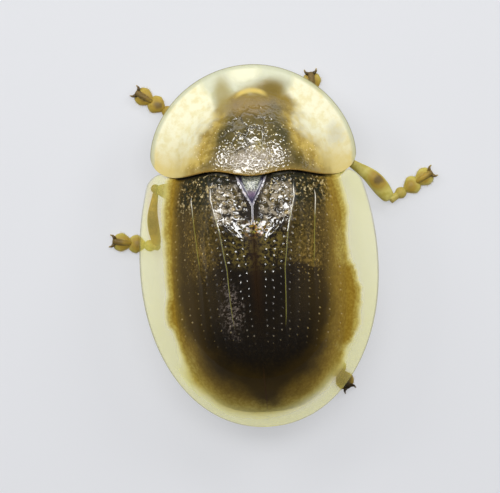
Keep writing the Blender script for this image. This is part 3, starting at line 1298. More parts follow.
def creased(w, given):
    """Fine pricks over the disc, and tilted flakes with cracks between them where "crackle" is set."""
    point = w.add("GeometryNodeInputPosition").outputs[0]
    crackle = field(w, "crackle")
    inside = w.step(field(w, "disc"), -0.02, 0.10)
    pricks = w.product(
        w.step(w.cells(point, 0.050 * MM), 0.60, 0.05), w.total(w.product(field(w, "net"), 1.6), 1.0),
        inside, given["Prick depth"],
    )
    bend = w.add("ShaderNodeTexNoise", {"Vector": point, "Scale": 1 / (0.35 * MM), "Detail": 2.0})
    bent = w.vector("ADD", point, w.scaled(bend.outputs["Color"], 0.25 * MM))
    flakes = w.add("ShaderNodeTexVoronoi", {"Vector": bent, "Scale": 1 / FLAKE_SIZE}, feature="F1")
    tilt = w.vector("SUBTRACT", flakes.outputs["Color"], (0.5, 0.5, 0.5))
    away = w.vector("SUBTRACT", bent, flakes.outputs["Position"])
    slope = w.add("ShaderNodeVectorMath", {0: tilt, 1: away}, operation="DOT_PRODUCT").outputs["Value"]
    cracks = w.step(w.cells(bent, FLAKE_SIZE, "DISTANCE_TO_EDGE"), 0.10, 0.0)
    waves = centred(w, w.noise(point, 0.13 * MM, 3.0, 0.55), 1.0)
    rise = w.total(w.product(slope, 0.42), w.product(w.less(waves, cracks), given["Crease height"]))
    geometry = keep_field(w, given["Geometry"], "crack", w.product(cracks, crackle))
    return pushed_along_normal(w, geometry, w.less(w.product(rise, crackle), pricks))


def bristled(w, given):
    """Bristles on the faces whose points have "bristle" set, leaning along the surface."""
    spread = w.add(
        "GeometryNodeDistributePointsOnFaces",
        {"Mesh": given["Geometry"], "Density": w.product(field(w, "bristle"), given["Density"]),
         "Seed": given["Seed"]},
        distribute_method="RANDOM",
    )
    cone = w.add(
        "GeometryNodeMeshCone",
        {"Vertices": 5, "Side Segments": 2, "Radius Top": 0.0, "Radius Bottom": given["Radius"],
         "Depth": given["Length"]},
    )
    index = w.add("GeometryNodeInputIndex").outputs[0]
    lean = w.add(
        "FunctionNodeRandomValue",
        {0: (-0.5, -0.5, 0.0), 1: (0.5, 0.5, 0.5), "ID": index, "Seed": given["Seed"]},
        data_type="FLOAT_VECTOR",
    ).outputs[0]
    turn = w.add(
        "FunctionNodeRotateRotation", {0: spread.outputs["Rotation"], 1: lean}, rotation_space="LOCAL",
    ).outputs[0]
    size = random_field(w, 0.6, 1.15, index, given["Seed"])
    placed = w.add(
        "GeometryNodeInstanceOnPoints",
        {"Points": spread.outputs["Points"], "Instance": cone.outputs["Mesh"], "Rotation": turn,
         "Scale": size},
    )
    return placed.outputs[0]


# The beetle's pieces

def declare(piece, slot, *nodes):
    """Gives a piece its body, slot and the solids' nodes it replaces."""
    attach(piece, "root")
    if nodes:
        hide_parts(*nodes)


class BEETLE_OT_pronotum(bpy.types.Operator):
    """Makes the broad front plate that hides the head"""

    bl_idname = "beetle.pronotum"
    bl_label = "Pronotum"

    def execute(self, context):
        settings = context.scene.beetle_shield
        plan = pronotum_grid(np.linspace(0, 1, 321), np.linspace(0, 1, 186))
        under = pronotum_grid(np.linspace(0, 1, 91), np.linspace(0, 1, 47))
        top = shell_points(plan, pronotum_height, np.zeros(plan.shape[:2]))
        top[..., 2] += self.swelling(plan)
        under_values = self.values(under)
        inward = np.minimum(
            smoothstep(under_values["rim"], 0.0, 0.5), smoothstep(under_values["hind"], 0.0, 0.4),
        )
        thick = settings.rim_thickness + (settings.disc_thickness - settings.rim_thickness) * inward
        bottom = shell_points(under, pronotum_height, thick)
        under_values["crackle"] = 0 * under_values["crackle"]
        under_values["disc"] = np.minimum(under_values["disc"], -0.5)
        finish = pronotum_finish()
        piece = shell("pronotum_shell", turned(top), turned(bottom), finish, self.values(plan), under_values)
        node_modifier(piece, "creases", {
            "Prick depth": ("NodeSocketFloat", settings.prick_depth),
            "Crease height": ("NodeSocketFloat", settings.crease_height),
            "Material": ("NodeSocketMaterial", finish),
        }, creased)
        declare(piece, "pronotum", "pronotum")
        return {"FINISHED"}

    @staticmethod
    def swelling(plan):
        """Two low swellings beside the middle, ahead of the hind edge."""
        ahead = (HIND_EDGE_Y - plan[..., 1]) / SWELLING_LENGTH
        rise = bell(np.abs(plan[..., 0]), SWELLING_X, SWELLING_HALF) * np.exp(-(ahead**4))
        return SWELLING_RISE * rise * smoothstep(ahead, 0.0, 0.10)

    @staticmethod
    def values(plan):
        """Distances in millimetres into the disc, from the rim and from the hind edge, and zones."""
        seen = turned(plan) / MM
        x, y = seen[..., 0], seen[..., 1]
        beside = np.where(x > 0, np.interp(y, *DISC_LEFT) - x, np.interp(y, *DISC_RIGHT) + x)
        lobe = smoothstep(np.arctan2(np.abs(x - 0.02), -(y + 1.70)), radians(25), radians(38))
        ahead = HIND_EDGE_Y - plan[..., 1]
        beyond = np.clip(ahead - PRONOTUM_CORNER, 0, None) / (PRONOTUM_LENGTH - PRONOTUM_CORNER)
        outline = (np.abs(2 * plan[..., 0] / PRONOTUM_WIDTH) ** 2 + beyond**FRONT_POWER) ** 0.5
        return {
            "disc": np.minimum(beside, y - DISC_FRONT),
            "crackle": bell(x, 0.0, 0.42, 4) * bell(y, -2.18, 0.42, 4),
            "net": bell(x, 0.05, 0.62, 4) * bell(y, -1.62, 0.26, 4),
            "lobe": lobe,
            "rim": np.clip(1 - outline, 0, 1),
            "hind": np.clip(hind_edge(plan[..., 0]) - plan[..., 1], 0, None) / MM,
        }


class BEETLE_OT_scutellum(bpy.types.Operator):
    """Makes the small triangle between the wing cases"""

    bl_idname = "beetle.scutellum"
    bl_label = "Scutellum"

    def execute(self, context):
        along, across = np.linspace(0, 1, 60), np.linspace(-1, 1, 61)
        start = GRID_BASE_Y + 0.01 * MM
        y = start + (SCUTELLUM_LENGTH - 0.03 * MM) * along[:, None]
        x = scutellum_half(y) * across[None]
        y = y + 0 * x
        rim = np.maximum(np.abs(across)[None], 1 - 0.9 * scutellum_half(y) / SCUTELLUM_HALF)
        rise = SCUTELLUM_RISE * (1 - rim**3) - SCUTELLUM_SINK - BASE_DROP * base_drop(x, y, 1)
        top = np.stack([x, y, wing_height(x, y) + rise], -1)
        bottom = top[::3, ::3].copy()
        bottom[..., 2] -= SCUTELLUM_THICKNESS
        piece = shell(
            "scutellum_plate", top, bottom, scutellum_finish(),
            {"edge": rim}, {"edge": np.ones(bottom.shape[:2])},
        )
        declare(piece, "scutellum", "scutellum")
        return {"FINISHED"}


class BEETLE_OT_elytra(bpy.types.Operator):
    """Makes the two wing cases with their rows of pits and fine ridges"""

    bl_idname = "beetle.elytra"
    bl_label = "Wing cases"

    def execute(self, context):
        finish = wing_finish()
        for word, side in (("left", 1), ("right", -1)):
            self.make(context.scene.beetle_shield, word, side, finish)
        return {"FINISHED"}

    def make(self, settings, word, side, finish):
        top, values = self.upper(settings, side)
        bottom, under_values = self.lower(settings, side)
        for points in (top, bottom):
            points[..., 0] *= side
        piece = shell("elytron_case_" + word, top, bottom, finish, values, under_values)
        node_modifier(piece, "pits", {
            "Radius": ("NodeSocketFloat", settings.pit_radius),
            "Depth": ("NodeSocketFloat", settings.pit_depth),
            "Spacing": ("NodeSocketFloat", settings.pit_spacing),
            "Waves": ("NodeSocketFloat", settings.wave_height),
            "Seed": ("NodeSocketInt", settings.seed + side),
            "Material": ("NodeSocketMaterial", finish),
        }, pitted)
        declare(piece, "elytra", "elytron_" + word)

    def upper(self, settings, side):
        """The outer surface and its values, for a wing case on the left side."""
        along = np.linspace(0, 1, 431)
        columns = np.linspace(0, 1, 151), np.linspace(0, 1, 25)[1:]
        plan = wing_grid(along, *columns, side)
        values = self.values(plan, columns, settings, side)
        top = shell_points(plan, wing_height, np.zeros(plan.shape[:2]))
        top[..., 2] += self.lift(plan, values, settings) * self.level_ends(along)
        top[..., 2] -= BASE_DROP * base_drop(plan[..., 0], plan[..., 1], side)
        return top, values

    def lower(self, settings, side):
        """The inner surface and its values, plain and with fewer points."""
        columns = np.linspace(0, 1, 21), np.linspace(0, 1, 19)[1:]
        plan = wing_grid(np.linspace(0, 1, 121), *columns, side)
        values = self.values(plan, columns, settings, side)
        thinning = (settings.rim_thickness - settings.disc_thickness) * smoothstep(values["zone"], 0.9, 2.0)
        bottom = shell_points(plan, wing_height, settings.disc_thickness + thinning)
        bottom[:, 0, 0] = inner_edge(plan[:, 0, 1])
        bottom[..., 2] -= BASE_DROP * base_drop(plan[..., 0], plan[..., 1], side)
        for key in ("pitting", "costa", "rough"):
            values[key] = 0 * values[key]
        return bottom, values

    @staticmethod
    def values(plan, columns, settings, side):
        """Row, run and zone of each point, and where the pits, ridges and humps are."""
        shape = plan.shape[:2]
        x, y = plan[..., 0], plan[..., 1]
        column = np.concatenate([columns[0], 1 + columns[1]])
        runs = np.linalg.norm(np.diff(plan, axis=0), axis=-1)
        run = np.concatenate([np.zeros((1, shape[1])), np.cumsum(runs, axis=0)])
        reach = np.linalg.norm(np.diff(plan, axis=1), axis=-1)
        reach = np.concatenate([reach, reach[:, -1:]], 1)
        step = np.diff(column)
        pitch = reach / np.concatenate([step, step[-1:]])[None] / STRIAE
        column = column[None] + np.zeros(shape)
        row = column * STRIAE
        zone = disc_reach(x, y)
        length = (y - WING_BASE_Y) / (TAIL_Y - WING_BASE_Y)
        base = (y - side_hind_edge(np.abs(x), side)) / MM
        humps = bell(x, 0.47 * MM, 0.43 * MM, 4) * bell(y, -0.80 * MM, 0.52 * MM, 4)
        flanks = bell(x, 1.15 * MM, 0.40 * MM, 4) * bell(y, -1.00 * MM, 0.30 * MM, 4)
        inside = np.maximum(smoothstep(row, 0.95, 1.05), humps * smoothstep(row, 0.20, 0.30))
        inside = inside * (1 - smoothstep(zone, 0.94, 1.0))
        pitting = inside * smoothstep(base, 0.09, 0.15) * (1 - smoothstep(length, 0.62, 0.76))
        costa = np.zeros(shape)
        for interval, start, end in COSTAE:
            seen = smoothstep(length, start - 0.01, start + 0.04) * (1 - smoothstep(length, end - 0.14, end))
            costa = np.maximum(costa, bell((row - interval) * pitch, 0.0, settings.costa_half) * seen)
        return {
            "row": row, "run": run, "pitch": pitch, "pitting": pitting, "costa": costa,
            "rough": np.maximum(humps, 0.6 * flanks), "zone": zone, "column": column, "base": base,
            "inner": x / MM, "beside": (x - inner_edge(y)) / MM,
        }

    @staticmethod
    def lift(plan, values, settings):
        """Rise of the ridges, humps, folds and beads above the plain surface, less the grooves."""
        x, y = plan[..., 0], plan[..., 1]
        row, column = values["row"], values["column"]
        groove = np.where(column < 1, (1 - np.cos(2 * pi * row)) / 2, 0) * values["pitting"]
        hump = bell(x, 0.78 * MM, 0.26 * MM) - 0.5 * bell(x, 0.22 * MM, 0.20 * MM)
        hump = hump * bell(y, -0.68 * MM, 0.42 * MM)
        slanting = y + 0.26 * MM + 0.9 * (x - 0.40 * MM)
        fold = bell(slanting, 0.0, 0.062 * MM) * bell(x, 0.42 * MM, 0.15 * MM, 4)
        seam = bell(x - inner_edge(y), 0.022 * MM, 0.020 * MM)
        seam = seam * (0.25 + 0.75 * (1 - smoothstep(y, -0.55 * MM, -0.30 * MM)))
        bead = bell(column, 1.985, 0.02)
        return (
            settings.costa_height * values["costa"] - GROOVE_DEPTH * groove + SUTURE_RISE * seam
            + HUMP_RISE * hump + FOLD_RISE * fold + BEAD_RISE * bead
        )

    @staticmethod
    def level_ends(along):
        """1 along a wing case and 0 at its two ends."""
        return (smoothstep(along, 0.0, 0.01) * (1 - smoothstep(along, 0.97, 1.0)))[:, None]


def body_surface(y, half, height, under, across):
    """Upper and lower grids of a length of the body."""
    x = half[:, None] * across[None]
    station = np.broadcast_to(y[:, None], x.shape)
    facing_up = slope_normal(height, x, station)[..., 2]
    upper = np.maximum(height(x, station) - UNDER_SHELL / facing_up, SIDE_TOP)
    lower = under + BELLY_ROUND * np.abs(across[None]) ** 5
    return np.stack([x, station, upper], -1), np.stack([x, station, lower], -1)


class BEETLE_OT_body(bpy.types.Operator):
    """Makes the prothorax, thorax and abdomen under the shield"""

    bl_idname = "beetle.body"
    bl_label = "Body"

    def execute(self, context):
        finish = belly_finish()
        across = np.sin(np.linspace(-pi / 2, pi / 2, 81))
        self.prothorax(across, finish)
        self.thorax(across, finish)
        self.abdomen(across, finish)
        return {"FINISHED"}

    def prothorax(self, across, finish):
        """The first length, with a keel between the front legs."""
        y, share = self.stations(PROTHORAX_FRONT_Y, HIND_EDGE_Y + BODY_GAP, 40)
        half = BODY_HALF * (0.60 + 0.24 * np.sqrt(share))
        keel = 0.05 * MM * bell(across, 0.0, 0.14)[None]
        under = VENTER - keel * np.sin(pi * share)[:, None]
        self.block("prothorax_body", "prothorax", y, half, pronotum_height, under, across, finish, 0.15)

    def thorax(self, across, finish):
        """The second length, with a groove along its hind half and a ridge across it."""
        y, share = self.stations(HIND_EDGE_Y + BODY_GAP / 2, THORAX_END_Y, 70)
        half = BODY_HALF * (0.86 + 0.14 * share)
        groove = 0.03 * MM * bell(across, 0.0, 0.03)[None] * smoothstep(share, 0.35, 0.5)[:, None]
        plates = 0.03 * MM * bell(share, 0.38, 0.02)[:, None]
        under = VENTER - 0.05 * MM * np.sin(pi * share)[:, None] + groove + plates
        self.block("thorax_body", "thorax", y, half, wing_height, under, across, finish, 0.0)

    def abdomen(self, across, finish):
        """The last length, in overlapping rings with paler edges."""
        y, share = self.stations(THORAX_END_Y - BODY_GAP / 2, ABDOMEN_END_Y, 121)
        half = BODY_HALF * superellipse(share, 2.4) + 0.12 * MM
        phase = (share * STERNITES) % 1.0
        step = STERNITE_STEP * phase * (1 - smoothstep(phase, 0.90, 1.0))
        under = (VENTER + 0.05 * MM * share**2 - step)[:, None]
        tint = 0.7 * smoothstep(phase, 0.7, 0.95)[:, None] * np.ones(len(across))[None]
        tint = np.maximum(tint, smoothstep(np.abs(across), 0.8, 1.0)[None])
        tint = np.maximum(tint, smoothstep(share, 0.90, 0.98)[:, None])
        self.block("abdomen_body", "abdomen", y, half, wing_height, under, across, finish, tint)

    @staticmethod
    def stations(start, end, count):
        """Places along Y, and each one's share of the way."""
        y = np.linspace(start, end, count)
        return y, (y - start) / (end - start)

    @staticmethod
    def block(name, node, y, half, height, under, across, finish, tint):
        under = np.broadcast_to(under, (len(y), len(across)))
        upper, lower = body_surface(y, half, height, under, across)
        tint = np.broadcast_to(tint, lower.shape[:2])
        piece = shell(name, upper[::3, ::2], lower, finish, {"tint": tint[::3, ::2]}, {"tint": tint})
        declare(piece, "underside", node)


def leg_line(bends):
    """The four bends of a leg as points."""
    heights = (FEMUR_Z, KNEE_Z, ANKLE_Z, SOLE_Z)
    return [Vector((x * MM, y * MM, z)) for (x, y), z in zip(bends, heights)]


def rounded_ends(share, power):
    """1 along a limb, falling off at its two ends, later where the power is high."""
    return np.sqrt(np.clip(1 - ((share - 0.5) / 0.5) ** power, 0.02, 1))


def heart(notch, taper):
    """Shapes a unit ball into a two-lobed pad, notched at its front (+X)."""
    def shape(unit):
        x, y, z = unit[..., 0], unit[..., 1], unit[..., 2]
        angle = np.arctan2(y, x)
        reach = 1 - notch * np.exp(-((angle / 0.42) ** 2)) * np.hypot(x, y)
        wide = 1 - taper * np.clip(-x, 0, 1)
        return np.stack([x * reach, y * reach * wide, np.maximum(z, -0.72)], -1)
    return shape


class Foot:
    """The directions of a foot, and places on it."""

    def __init__(self, ankle, tip):
        self.tip = tip
        self.along = Vector((tip.x - ankle.x, tip.y - ankle.y, 0)).normalized()
        self.across = Vector((-self.along.y, self.along.x, 0))
        self.turn = np.arctan2(self.along.y, self.along.x)

    def at(self, back, height):
        """A point that far back from the claws' reach and above the floor, in millimetres."""
        return Vector((*(self.tip - self.along * back * MM).xy, height * MM))


class BEETLE_OT_legs(bpy.types.Operator):
    """Makes the six legs, each from hip to claws"""

    bl_idname = "beetle.legs"
    bl_label = "Legs"

    def execute(self, context):
        finish = limb_finish("leg", 0.12)
        bristle = bristle_finish()
        for name, bends in LEGS.items():
            self.make(context.scene.beetle_limbs, name, bends, finish, bristle)
        return {"FINISHED"}

    def make(self, settings, name, bends, finish, bristle):
        hip, knee, ankle, tip = leg_line(bends)
        limb_shade, foot_shade = LEG_SHADES.get(name, (0.0, 0.0))
        parts = Parts()
        self.hip(parts, hip)
        self.thigh(parts, settings, hip, knee)
        self.shin(parts, settings, hip, knee, ankle, SHIN_SHARES.get(name, 1.0))
        parts.tints = [tints + limb_shade for tints in parts.tints]
        first = len(parts.tints)
        self.foot(parts, ankle, tip)
        self.claws(parts, settings, ankle, tip)
        parts.tints[first:] = [tints + foot_shade for tints in parts.tints[first:]]
        leg = parts.piece("leg_skin_" + name, finish)
        declare(leg, "legs", "leg_" + name)
        self.pads(settings, name, ankle, tip, bristle)

    @staticmethod
    def hip(parts, hip):
        """A short barrel between the body and the thigh."""
        top = Vector((hip.x, hip.y, VENTER - 0.04 * MM))
        low = Vector((hip.x, hip.y, 0.30 * MM))
        barrel = [tuple(top.lerp(low, share)) for share in np.linspace(0, 1, 14)]
        wide = 0.19 * MM * np.sin(np.linspace(0.25 * pi, 0.97 * pi, 14)) ** 0.6
        parts.tube(barrel, wide, sides=28, tint=0.5, up=(0, 1, 0))

    @staticmethod
    def thigh(parts, settings, hip, knee):
        share = np.linspace(0, 1, 40)
        line = np.array([hip.lerp(knee, t) for t in share])
        swell = 0.50 + 0.50 * np.sin(pi * share**0.85) ** 0.8
        wide = settings.femur_radius * swell * rounded_ends(share, 8)
        parts.tube(line, wide, wide * 0.86, sides=32, tint=0.30 * np.abs(2 * share - 1) ** 3)

    @staticmethod
    def shin(parts, settings, hip, knee, ankle, slimness):
        """A bowed shin, wider toward the ankle, with a blotch on its outer side, and the knee."""
        out = (knee - hip).normalized()
        bow = (ankle - knee).normalized().cross(Vector((0, 0, 1)))
        bow = bow if bow.dot(out) > 0 else -bow
        middle = (knee + ankle) / 2 + bow * 0.07 * MM
        line = smooth_path([knee - out * 0.02 * MM, middle, ankle], 44)
        share = np.linspace(0, 1, 44)
        grow = 0.52 + 0.48 * smoothstep(share, 0.05, 0.65) - 0.22 * smoothstep(share, 0.70, 1.0)
        wide = settings.shin_radius * slimness * grow * rounded_ends(share, 14)
        blotch = 1.35 * bell(share, 0.58, 0.17)
        outer_side = bow.cross(ankle - knee).z > 0
        facing = 0.9 if outer_side else pi - 0.9
        edge = 0.0 if outer_side else pi
        angles = 2 * pi * np.arange(28) / 28
        one_side = smoothstep(np.cos(angles - facing), -0.5, 1.0)
        one_side = one_side * (1 - 0.9 * smoothstep(np.cos(angles - edge), 0.75, 1.0))
        dark = blotch[:, None] * one_side[None] + 0.6 * bell(share, 0.02, 0.10)[:, None]
        parts.tube(line, wide, wide * 0.72, sides=28, tint=dark)
        parts.ball(knee, [KNEE_RADIUS * (0.3 + 0.7 * slimness)] * 3, tint=0.6)

    @staticmethod
    def foot(parts, ankle, tip):
        """A neck and a small joint, a two-lobed one, a deeper lobed one and the claw joint."""
        foot = Foot(ankle, tip)

        def shade(unit):
            return 1.05 * np.exp(-((unit[..., 0] + 0.1) ** 2 + unit[..., 1] ** 2) / 0.55)

        reach = (tip - ankle).xy.length / MM
        neck = smooth_path([ankle, foot.at(min(reach - 0.04, 0.94), 0.16), foot.at(0.74, 0.13)], 14)
        parts.tube(neck, np.linspace(0.080, 0.065, 14) * MM, sides=16, tint=0.35)
        for back, height, half, tint, notch, taper in (
            (min(reach - 0.12, 0.84), 0.13, (0.14, 0.115, 0.10), 0.45, 0.2, 0.4),
            (0.57, 0.085, (0.19, 0.180, 0.10), shade, 0.30, 0.50),
            (0.28, 0.08, (0.21, 0.180, 0.09), shade, 0.62, 0.40),
        ):
            half = [size * MM for size in half]
            parts.ball(foot.at(back, height), half, foot.turn, tint, heart(notch, taper))
        line = [foot.at(*place) for place in ((0.44, 0.12), (0.32, 0.17), (0.20, 0.16), (0.12, 0.12))]
        thick = np.linspace(0.045, 0.070, 16) * MM
        parts.tube(smooth_path(line, 16), thick, sides=16, tint=np.linspace(0.7, 1.4, 16))

    @staticmethod
    def claws(parts, settings, ankle, tip):
        """Two hooked claws, each with a tooth at its root."""
        foot = Foot(ankle, tip)
        for side in (1, -1):
            heading = foot.along * cos(CLAW_SPREAD) + foot.across * side * sin(CLAW_SPREAD)
            root = foot.at(0.14, 0.13) + foot.across * side * 0.03 * MM
            mid = root + heading * settings.claw_length * 0.55 + Vector((0, 0, 0.03 * MM))
            end = mid + (heading * 0.35 + foot.along * 0.65) * settings.claw_length * 0.5
            end.z = 0.03 * MM
            thick = np.linspace(1, 0.15, 18) ** 0.6 * CLAW_RADIUS
            tint = np.interp(np.linspace(0, 1, 18), (0, 0.5, 1), (2.0, 1.5, 0.1))
            parts.tube(smooth_path([root, mid, end], 18), thick, sides=12, tint=tint)
            low = root + heading * 0.07 * MM + Vector((0, 0, -0.03 * MM))
            tooth = smooth_path([root, low, mid - Vector((0, 0, 0.09 * MM))], 9)
            parts.tube(tooth, np.linspace(0.045, 0.012, 9) * MM, sides=10, tint=1.0)

    @staticmethod
    def pads(settings, name, ankle, tip, finish):
        """Bristles round the rims of the two-lobed pads."""
        foot = Foot(ankle, tip)
        parts = Parts()
        for back, half, notch in ((0.56, (0.165, 0.17, 0.07), 0.30), (0.28, (0.185, 0.175, 0.065), 0.62)):
            half = [size * MM for size in half]
            parts.ball(foot.at(back, 0.07), half, foot.turn, 0.0, heart(notch, 0.4))
        pads = parts.piece("bristles_" + name, finish)
        heights = np.array([vert.co.z for vert in pads.data.vertices])
        layer = pads.data.attributes.new("bristle", "FLOAT", "POINT")
        layer.data.foreach_set("value", ((heights > 0.03 * MM) & (heights < 0.10 * MM)).astype(np.float32))
        node_modifier(pads, "bristles", {
            "Density": ("NodeSocketFloat", BRISTLE_DENSITY),
            "Length": ("NodeSocketFloat", settings.bristle_length),
            "Radius": ("NodeSocketFloat", settings.bristle_radius),
            "Seed": ("NodeSocketInt", len(name)),
            "Material": ("NodeSocketMaterial", finish),
        }, bristled)
        for vert in pads.data.vertices:
            vert.co.z = max(vert.co.z, 0.002 * MM)
        declare(pads, "legs")


def antenna_path(side):
    """The bends of a feeler, folded back beside the head."""
    corners = [(0.20, -2.72), (0.34, -3.00), (0.60, -3.04), (0.80, -2.78), (0.85, -2.48), (0.82, -2.20)]
    return np.array([(side * x * MM, y * MM, ANTENNA_Z) for x, y in corners])


def brow(unit):
    """Shapes a unit ball into the head, flatter and grooved in front (-Y)."""
    x, y, z = unit[..., 0], unit[..., 1], unit[..., 2]
    groove = 0.05 * np.exp(-((x / 0.08) ** 2)) * np.clip(-y, 0, 1)
    flat = 1 - 0.10 * np.clip(-y, 0, 1) ** 3
    return np.stack([x, y * flat + groove, z], -1)


class BEETLE_OT_head(bpy.types.Operator):
    """Makes the head, its mouthparts, its eyes and its feelers"""

    bl_idname = "beetle.head"
    bl_label = "Head"

    def execute(self, context):
        parts = Parts()
        parts.ball(HEAD_CENTRE, HEAD_HALF, 0.0, 0.75, brow, 40)
        self.mouth(parts)
        head = parts.piece("head_capsule", limb_finish("head", 0.4))
        declare(head, "head", "head")
        eyes, feelers = eye_finish(), limb_finish("antenna", 0.2)
        for word, side in (("left", 1), ("right", -1)):
            self.eye(word, side, eyes)
            self.feeler(context.scene.beetle_limbs, word, side, feelers)
        return {"FINISHED"}

    @staticmethod
    def mouth(parts):
        """The mouth, its lip, two jaws and two jointed palps."""
        mouth = HEAD_CENTRE + Vector((0, -0.10, -0.30)) * MM
        parts.ball(mouth, (0.24 * MM, 0.19 * MM, 0.13 * MM), 0.0, 0.55)
        parts.ball(mouth + Vector((0, -0.15, -0.01)) * MM, (0.15 * MM, 0.06 * MM, 0.07 * MM), 0.0, 0.35)
        share = np.linspace(0, 1, 30)
        beads = (0.036 + 0.010 * np.abs(np.sin(3 * pi * share))) * MM * np.sqrt(1.02 - share**6)
        for side in (1, -1):
            jaw = [mouth + Vector((side * x, y, z)) * MM for x, y, z in JAW]
            parts.tube(smooth_path(jaw, 14), np.linspace(0.075, 0.02, 14) * MM, sides=14, tint=0.9)
            palp = [mouth + Vector((side * x, y, z)) * MM for x, y, z in PALP]
            parts.tube(smooth_path(palp, 30), beads, sides=12, tint=0.3)

    @staticmethod
    def eye(word, side, finish):
        parts = Parts()
        centre = Vector((side * EYE_CENTRE.x, EYE_CENTRE.y, EYE_CENTRE.z))
        parts.ball(centre, EYE_HALF, detail=28)
        eye = parts.piece("eye_globe_" + word, finish)
        declare(eye, "eyes", "eye_" + word)

    @staticmethod
    def feeler(settings, word, side, finish):
        path = smooth_path(antenna_path(side), 221)
        share = np.linspace(0, 1, 221)
        bead = (share * ANTENNA_SEGMENTS) % 1.0
        club = smoothstep(share, 0.52, 0.66)
        radius = settings.feeler_radius + (settings.club_radius - settings.feeler_radius) * club
        radius = radius * (0.62 + 0.38 * np.sin(pi * bead**0.8) ** 0.5) * np.sqrt(1.01 - share**24)
        radius = np.where(share < 1 / ANTENNA_SEGMENTS, radius * 1.35, radius)
        parts = Parts()
        parts.tube(path, radius, sides=20, tint=0.15 + 0.7 * smoothstep(share, 0.6, 0.9))
        feeler = parts.piece("antenna_beads_" + word, finish)
        declare(feeler, "antennae", "antenna_" + word)


def floor_finish():
    """A pale floor that is partly lit and partly glows, so that the shadows on it stay light."""
    made, w, shader = material("floor")
    colour = as_tuple(bpy.context.scene.beetle_stage.floor_colour)
    fit(
        w, shader, Base_Color=tuple(FLOOR_LIT * share for share in colour), Roughness=0.9,
        Specular_IOR_Level=0.0, Emission_Color=colour, Emission_Strength=FLOOR_GLOW,
    )
    return made


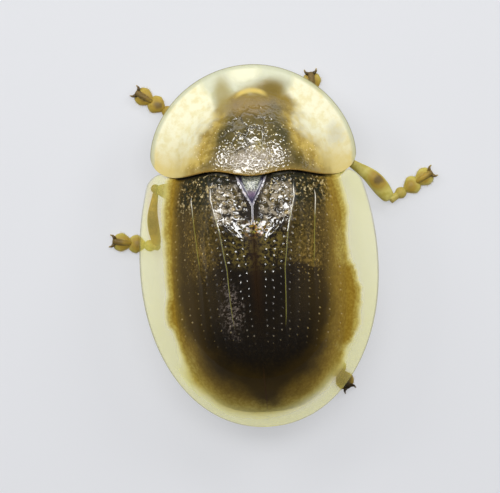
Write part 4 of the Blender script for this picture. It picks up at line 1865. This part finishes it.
class BEETLE_OT_stage(bpy.types.Operator):
    """Makes the floor, the lamps, the sky and the camera straight above"""

    bl_idname = "beetle.stage"
    bl_label = "Stage"

    def execute(self, context):
        settings = context.scene.beetle_stage
        self.floor()
        for name, (toward, wide, deep, key) in LAMPS.items():
            radiance = getattr(settings, key)
            self.lamp(name, toward, radiance, wide * MM, deep * MM, settings.light_distance)
        self.sky(context, settings)
        self.camera(context, settings)
        context.scene.view_settings.view_transform = "Standard"
        return {"FINISHED"}

    @staticmethod
    def floor():
        mesh = bpy.data.meshes.new("floor")
        signs = ((-1, -1), (1, -1), (1, 1), (-1, 1))
        mesh.from_pydata([(x * FLOOR_REACH, y * FLOOR_REACH, 0) for x, y in signs], [], [(0, 1, 2, 3)])
        mesh.materials.append(floor_finish())
        floor = bpy.data.objects.new("floor", mesh)
        bpy.context.scene.collection.objects.link(floor)

    @staticmethod
    def lamp(name, toward, radiance, wide, deep, distance):
        """A soft box that faces the beetle, with its wide side running round the beetle."""
        light = bpy.data.lights.new(name, "AREA")
        light.shape = "RECTANGLE"
        light.size = wide
        light.size_y = deep
        light.energy = radiance * pi * wide * deep
        lamp = bpy.data.objects.new("lamp_" + name, light)
        back = Vector(toward).normalized()
        up = Vector((0, 1, 0)) - back * back.y
        up.normalize()
        turn = Matrix((up.cross(back), up, back)).transposed()
        lamp.matrix_world = Matrix.Translation(back * distance + PLACE) @ turn.to_4x4()
        bpy.context.scene.collection.objects.link(lamp)

    @staticmethod
    def sky(context, settings):
        world = bpy.data.worlds.new("studio")
        world.use_nodes = True
        context.scene.world = world
        w = Wiring(world.node_tree)
        direction = w.add("ShaderNodeTexCoord").outputs["Generated"]
        height = w.add("ShaderNodeSeparateXYZ", {0: direction}).outputs[2]
        colour = w.mix(w.step(height, 0.15, 0.85), as_tuple(settings.sky_colour), (0.20, 0.21, 0.22))
        background = world.node_tree.nodes["Background"]
        world.node_tree.links.new(colour, background.inputs["Color"])
        background.inputs["Strength"].default_value = SKY_STRENGTH

    @staticmethod
    def camera(context, settings):
        data = bpy.data.cameras.new("camera")
        camera = bpy.data.objects.new("camera", data)
        context.scene.collection.objects.link(camera)
        back = Vector((0, 0, 1))
        up = Vector((-sin(settings.lean), -cos(settings.lean), 0))
        right = up.cross(back)
        turn = Matrix((right, up, back)).transposed()
        height = settings.camera_height
        camera.matrix_world = Matrix.Translation(PLACE + AIM + back * height) @ turn.to_4x4()
        data.sensor_width = 36.0
        data.lens = data.sensor_width * (height - EDGE_TOP) / settings.frame_width
        data.clip_start = 1 * MM
        data.clip_end = 2.0
        context.scene.camera = camera


class BEETLE_PT_panel(bpy.types.Panel):
    """Lists the beetle's pieces, sizes and colours"""

    bl_idname = "BEETLE_PT_panel"
    bl_label = "Tortoise beetle"
    bl_space_type = "VIEW_3D"
    bl_region_type = "UI"
    bl_category = "Beetle"

    def draw(self, context):
        for operator in OPERATORS:
            self.layout.operator(operator.bl_idname)
        for group in GROUPS:
            box = self.layout.box()
            settings = getattr(context.scene, group)
            for key in settings.bl_rna.properties.keys():
                if key not in ("rna_type", "name"):
                    box.prop(settings, key)


OPERATORS = (
    BEETLE_OT_pronotum,
    BEETLE_OT_scutellum,
    BEETLE_OT_elytra,
    BEETLE_OT_body,
    BEETLE_OT_head,
    BEETLE_OT_legs,
    BEETLE_OT_stage,
)
GROUPS = {
    "beetle_shield": ShieldSettings,
    "beetle_limbs": LimbSettings,
    "beetle_colours": ColourSettings,
    "beetle_stage": StageSettings,
}


def register():
    for name, group in GROUPS.items():
        bpy.utils.register_class(group)
        setattr(bpy.types.Scene, name, PointerProperty(type=group))
    for made in (*OPERATORS, BEETLE_PT_panel):
        bpy.utils.register_class(made)


def unregister():
    for made in (BEETLE_PT_panel, *reversed(OPERATORS)):
        bpy.utils.unregister_class(made)
    for name, group in GROUPS.items():
        delattr(bpy.types.Scene, name)
        bpy.utils.unregister_class(group)


def main():
    register()
    bpy.ops.beetle.pronotum()
    bpy.ops.beetle.scutellum()
    bpy.ops.beetle.elytra()
    bpy.ops.beetle.body()
    bpy.ops.beetle.head()
    bpy.ops.beetle.legs()
    bpy.ops.beetle.stage()
    bpy.context.view_layer.update()


if __name__ == "__main__":
    main()
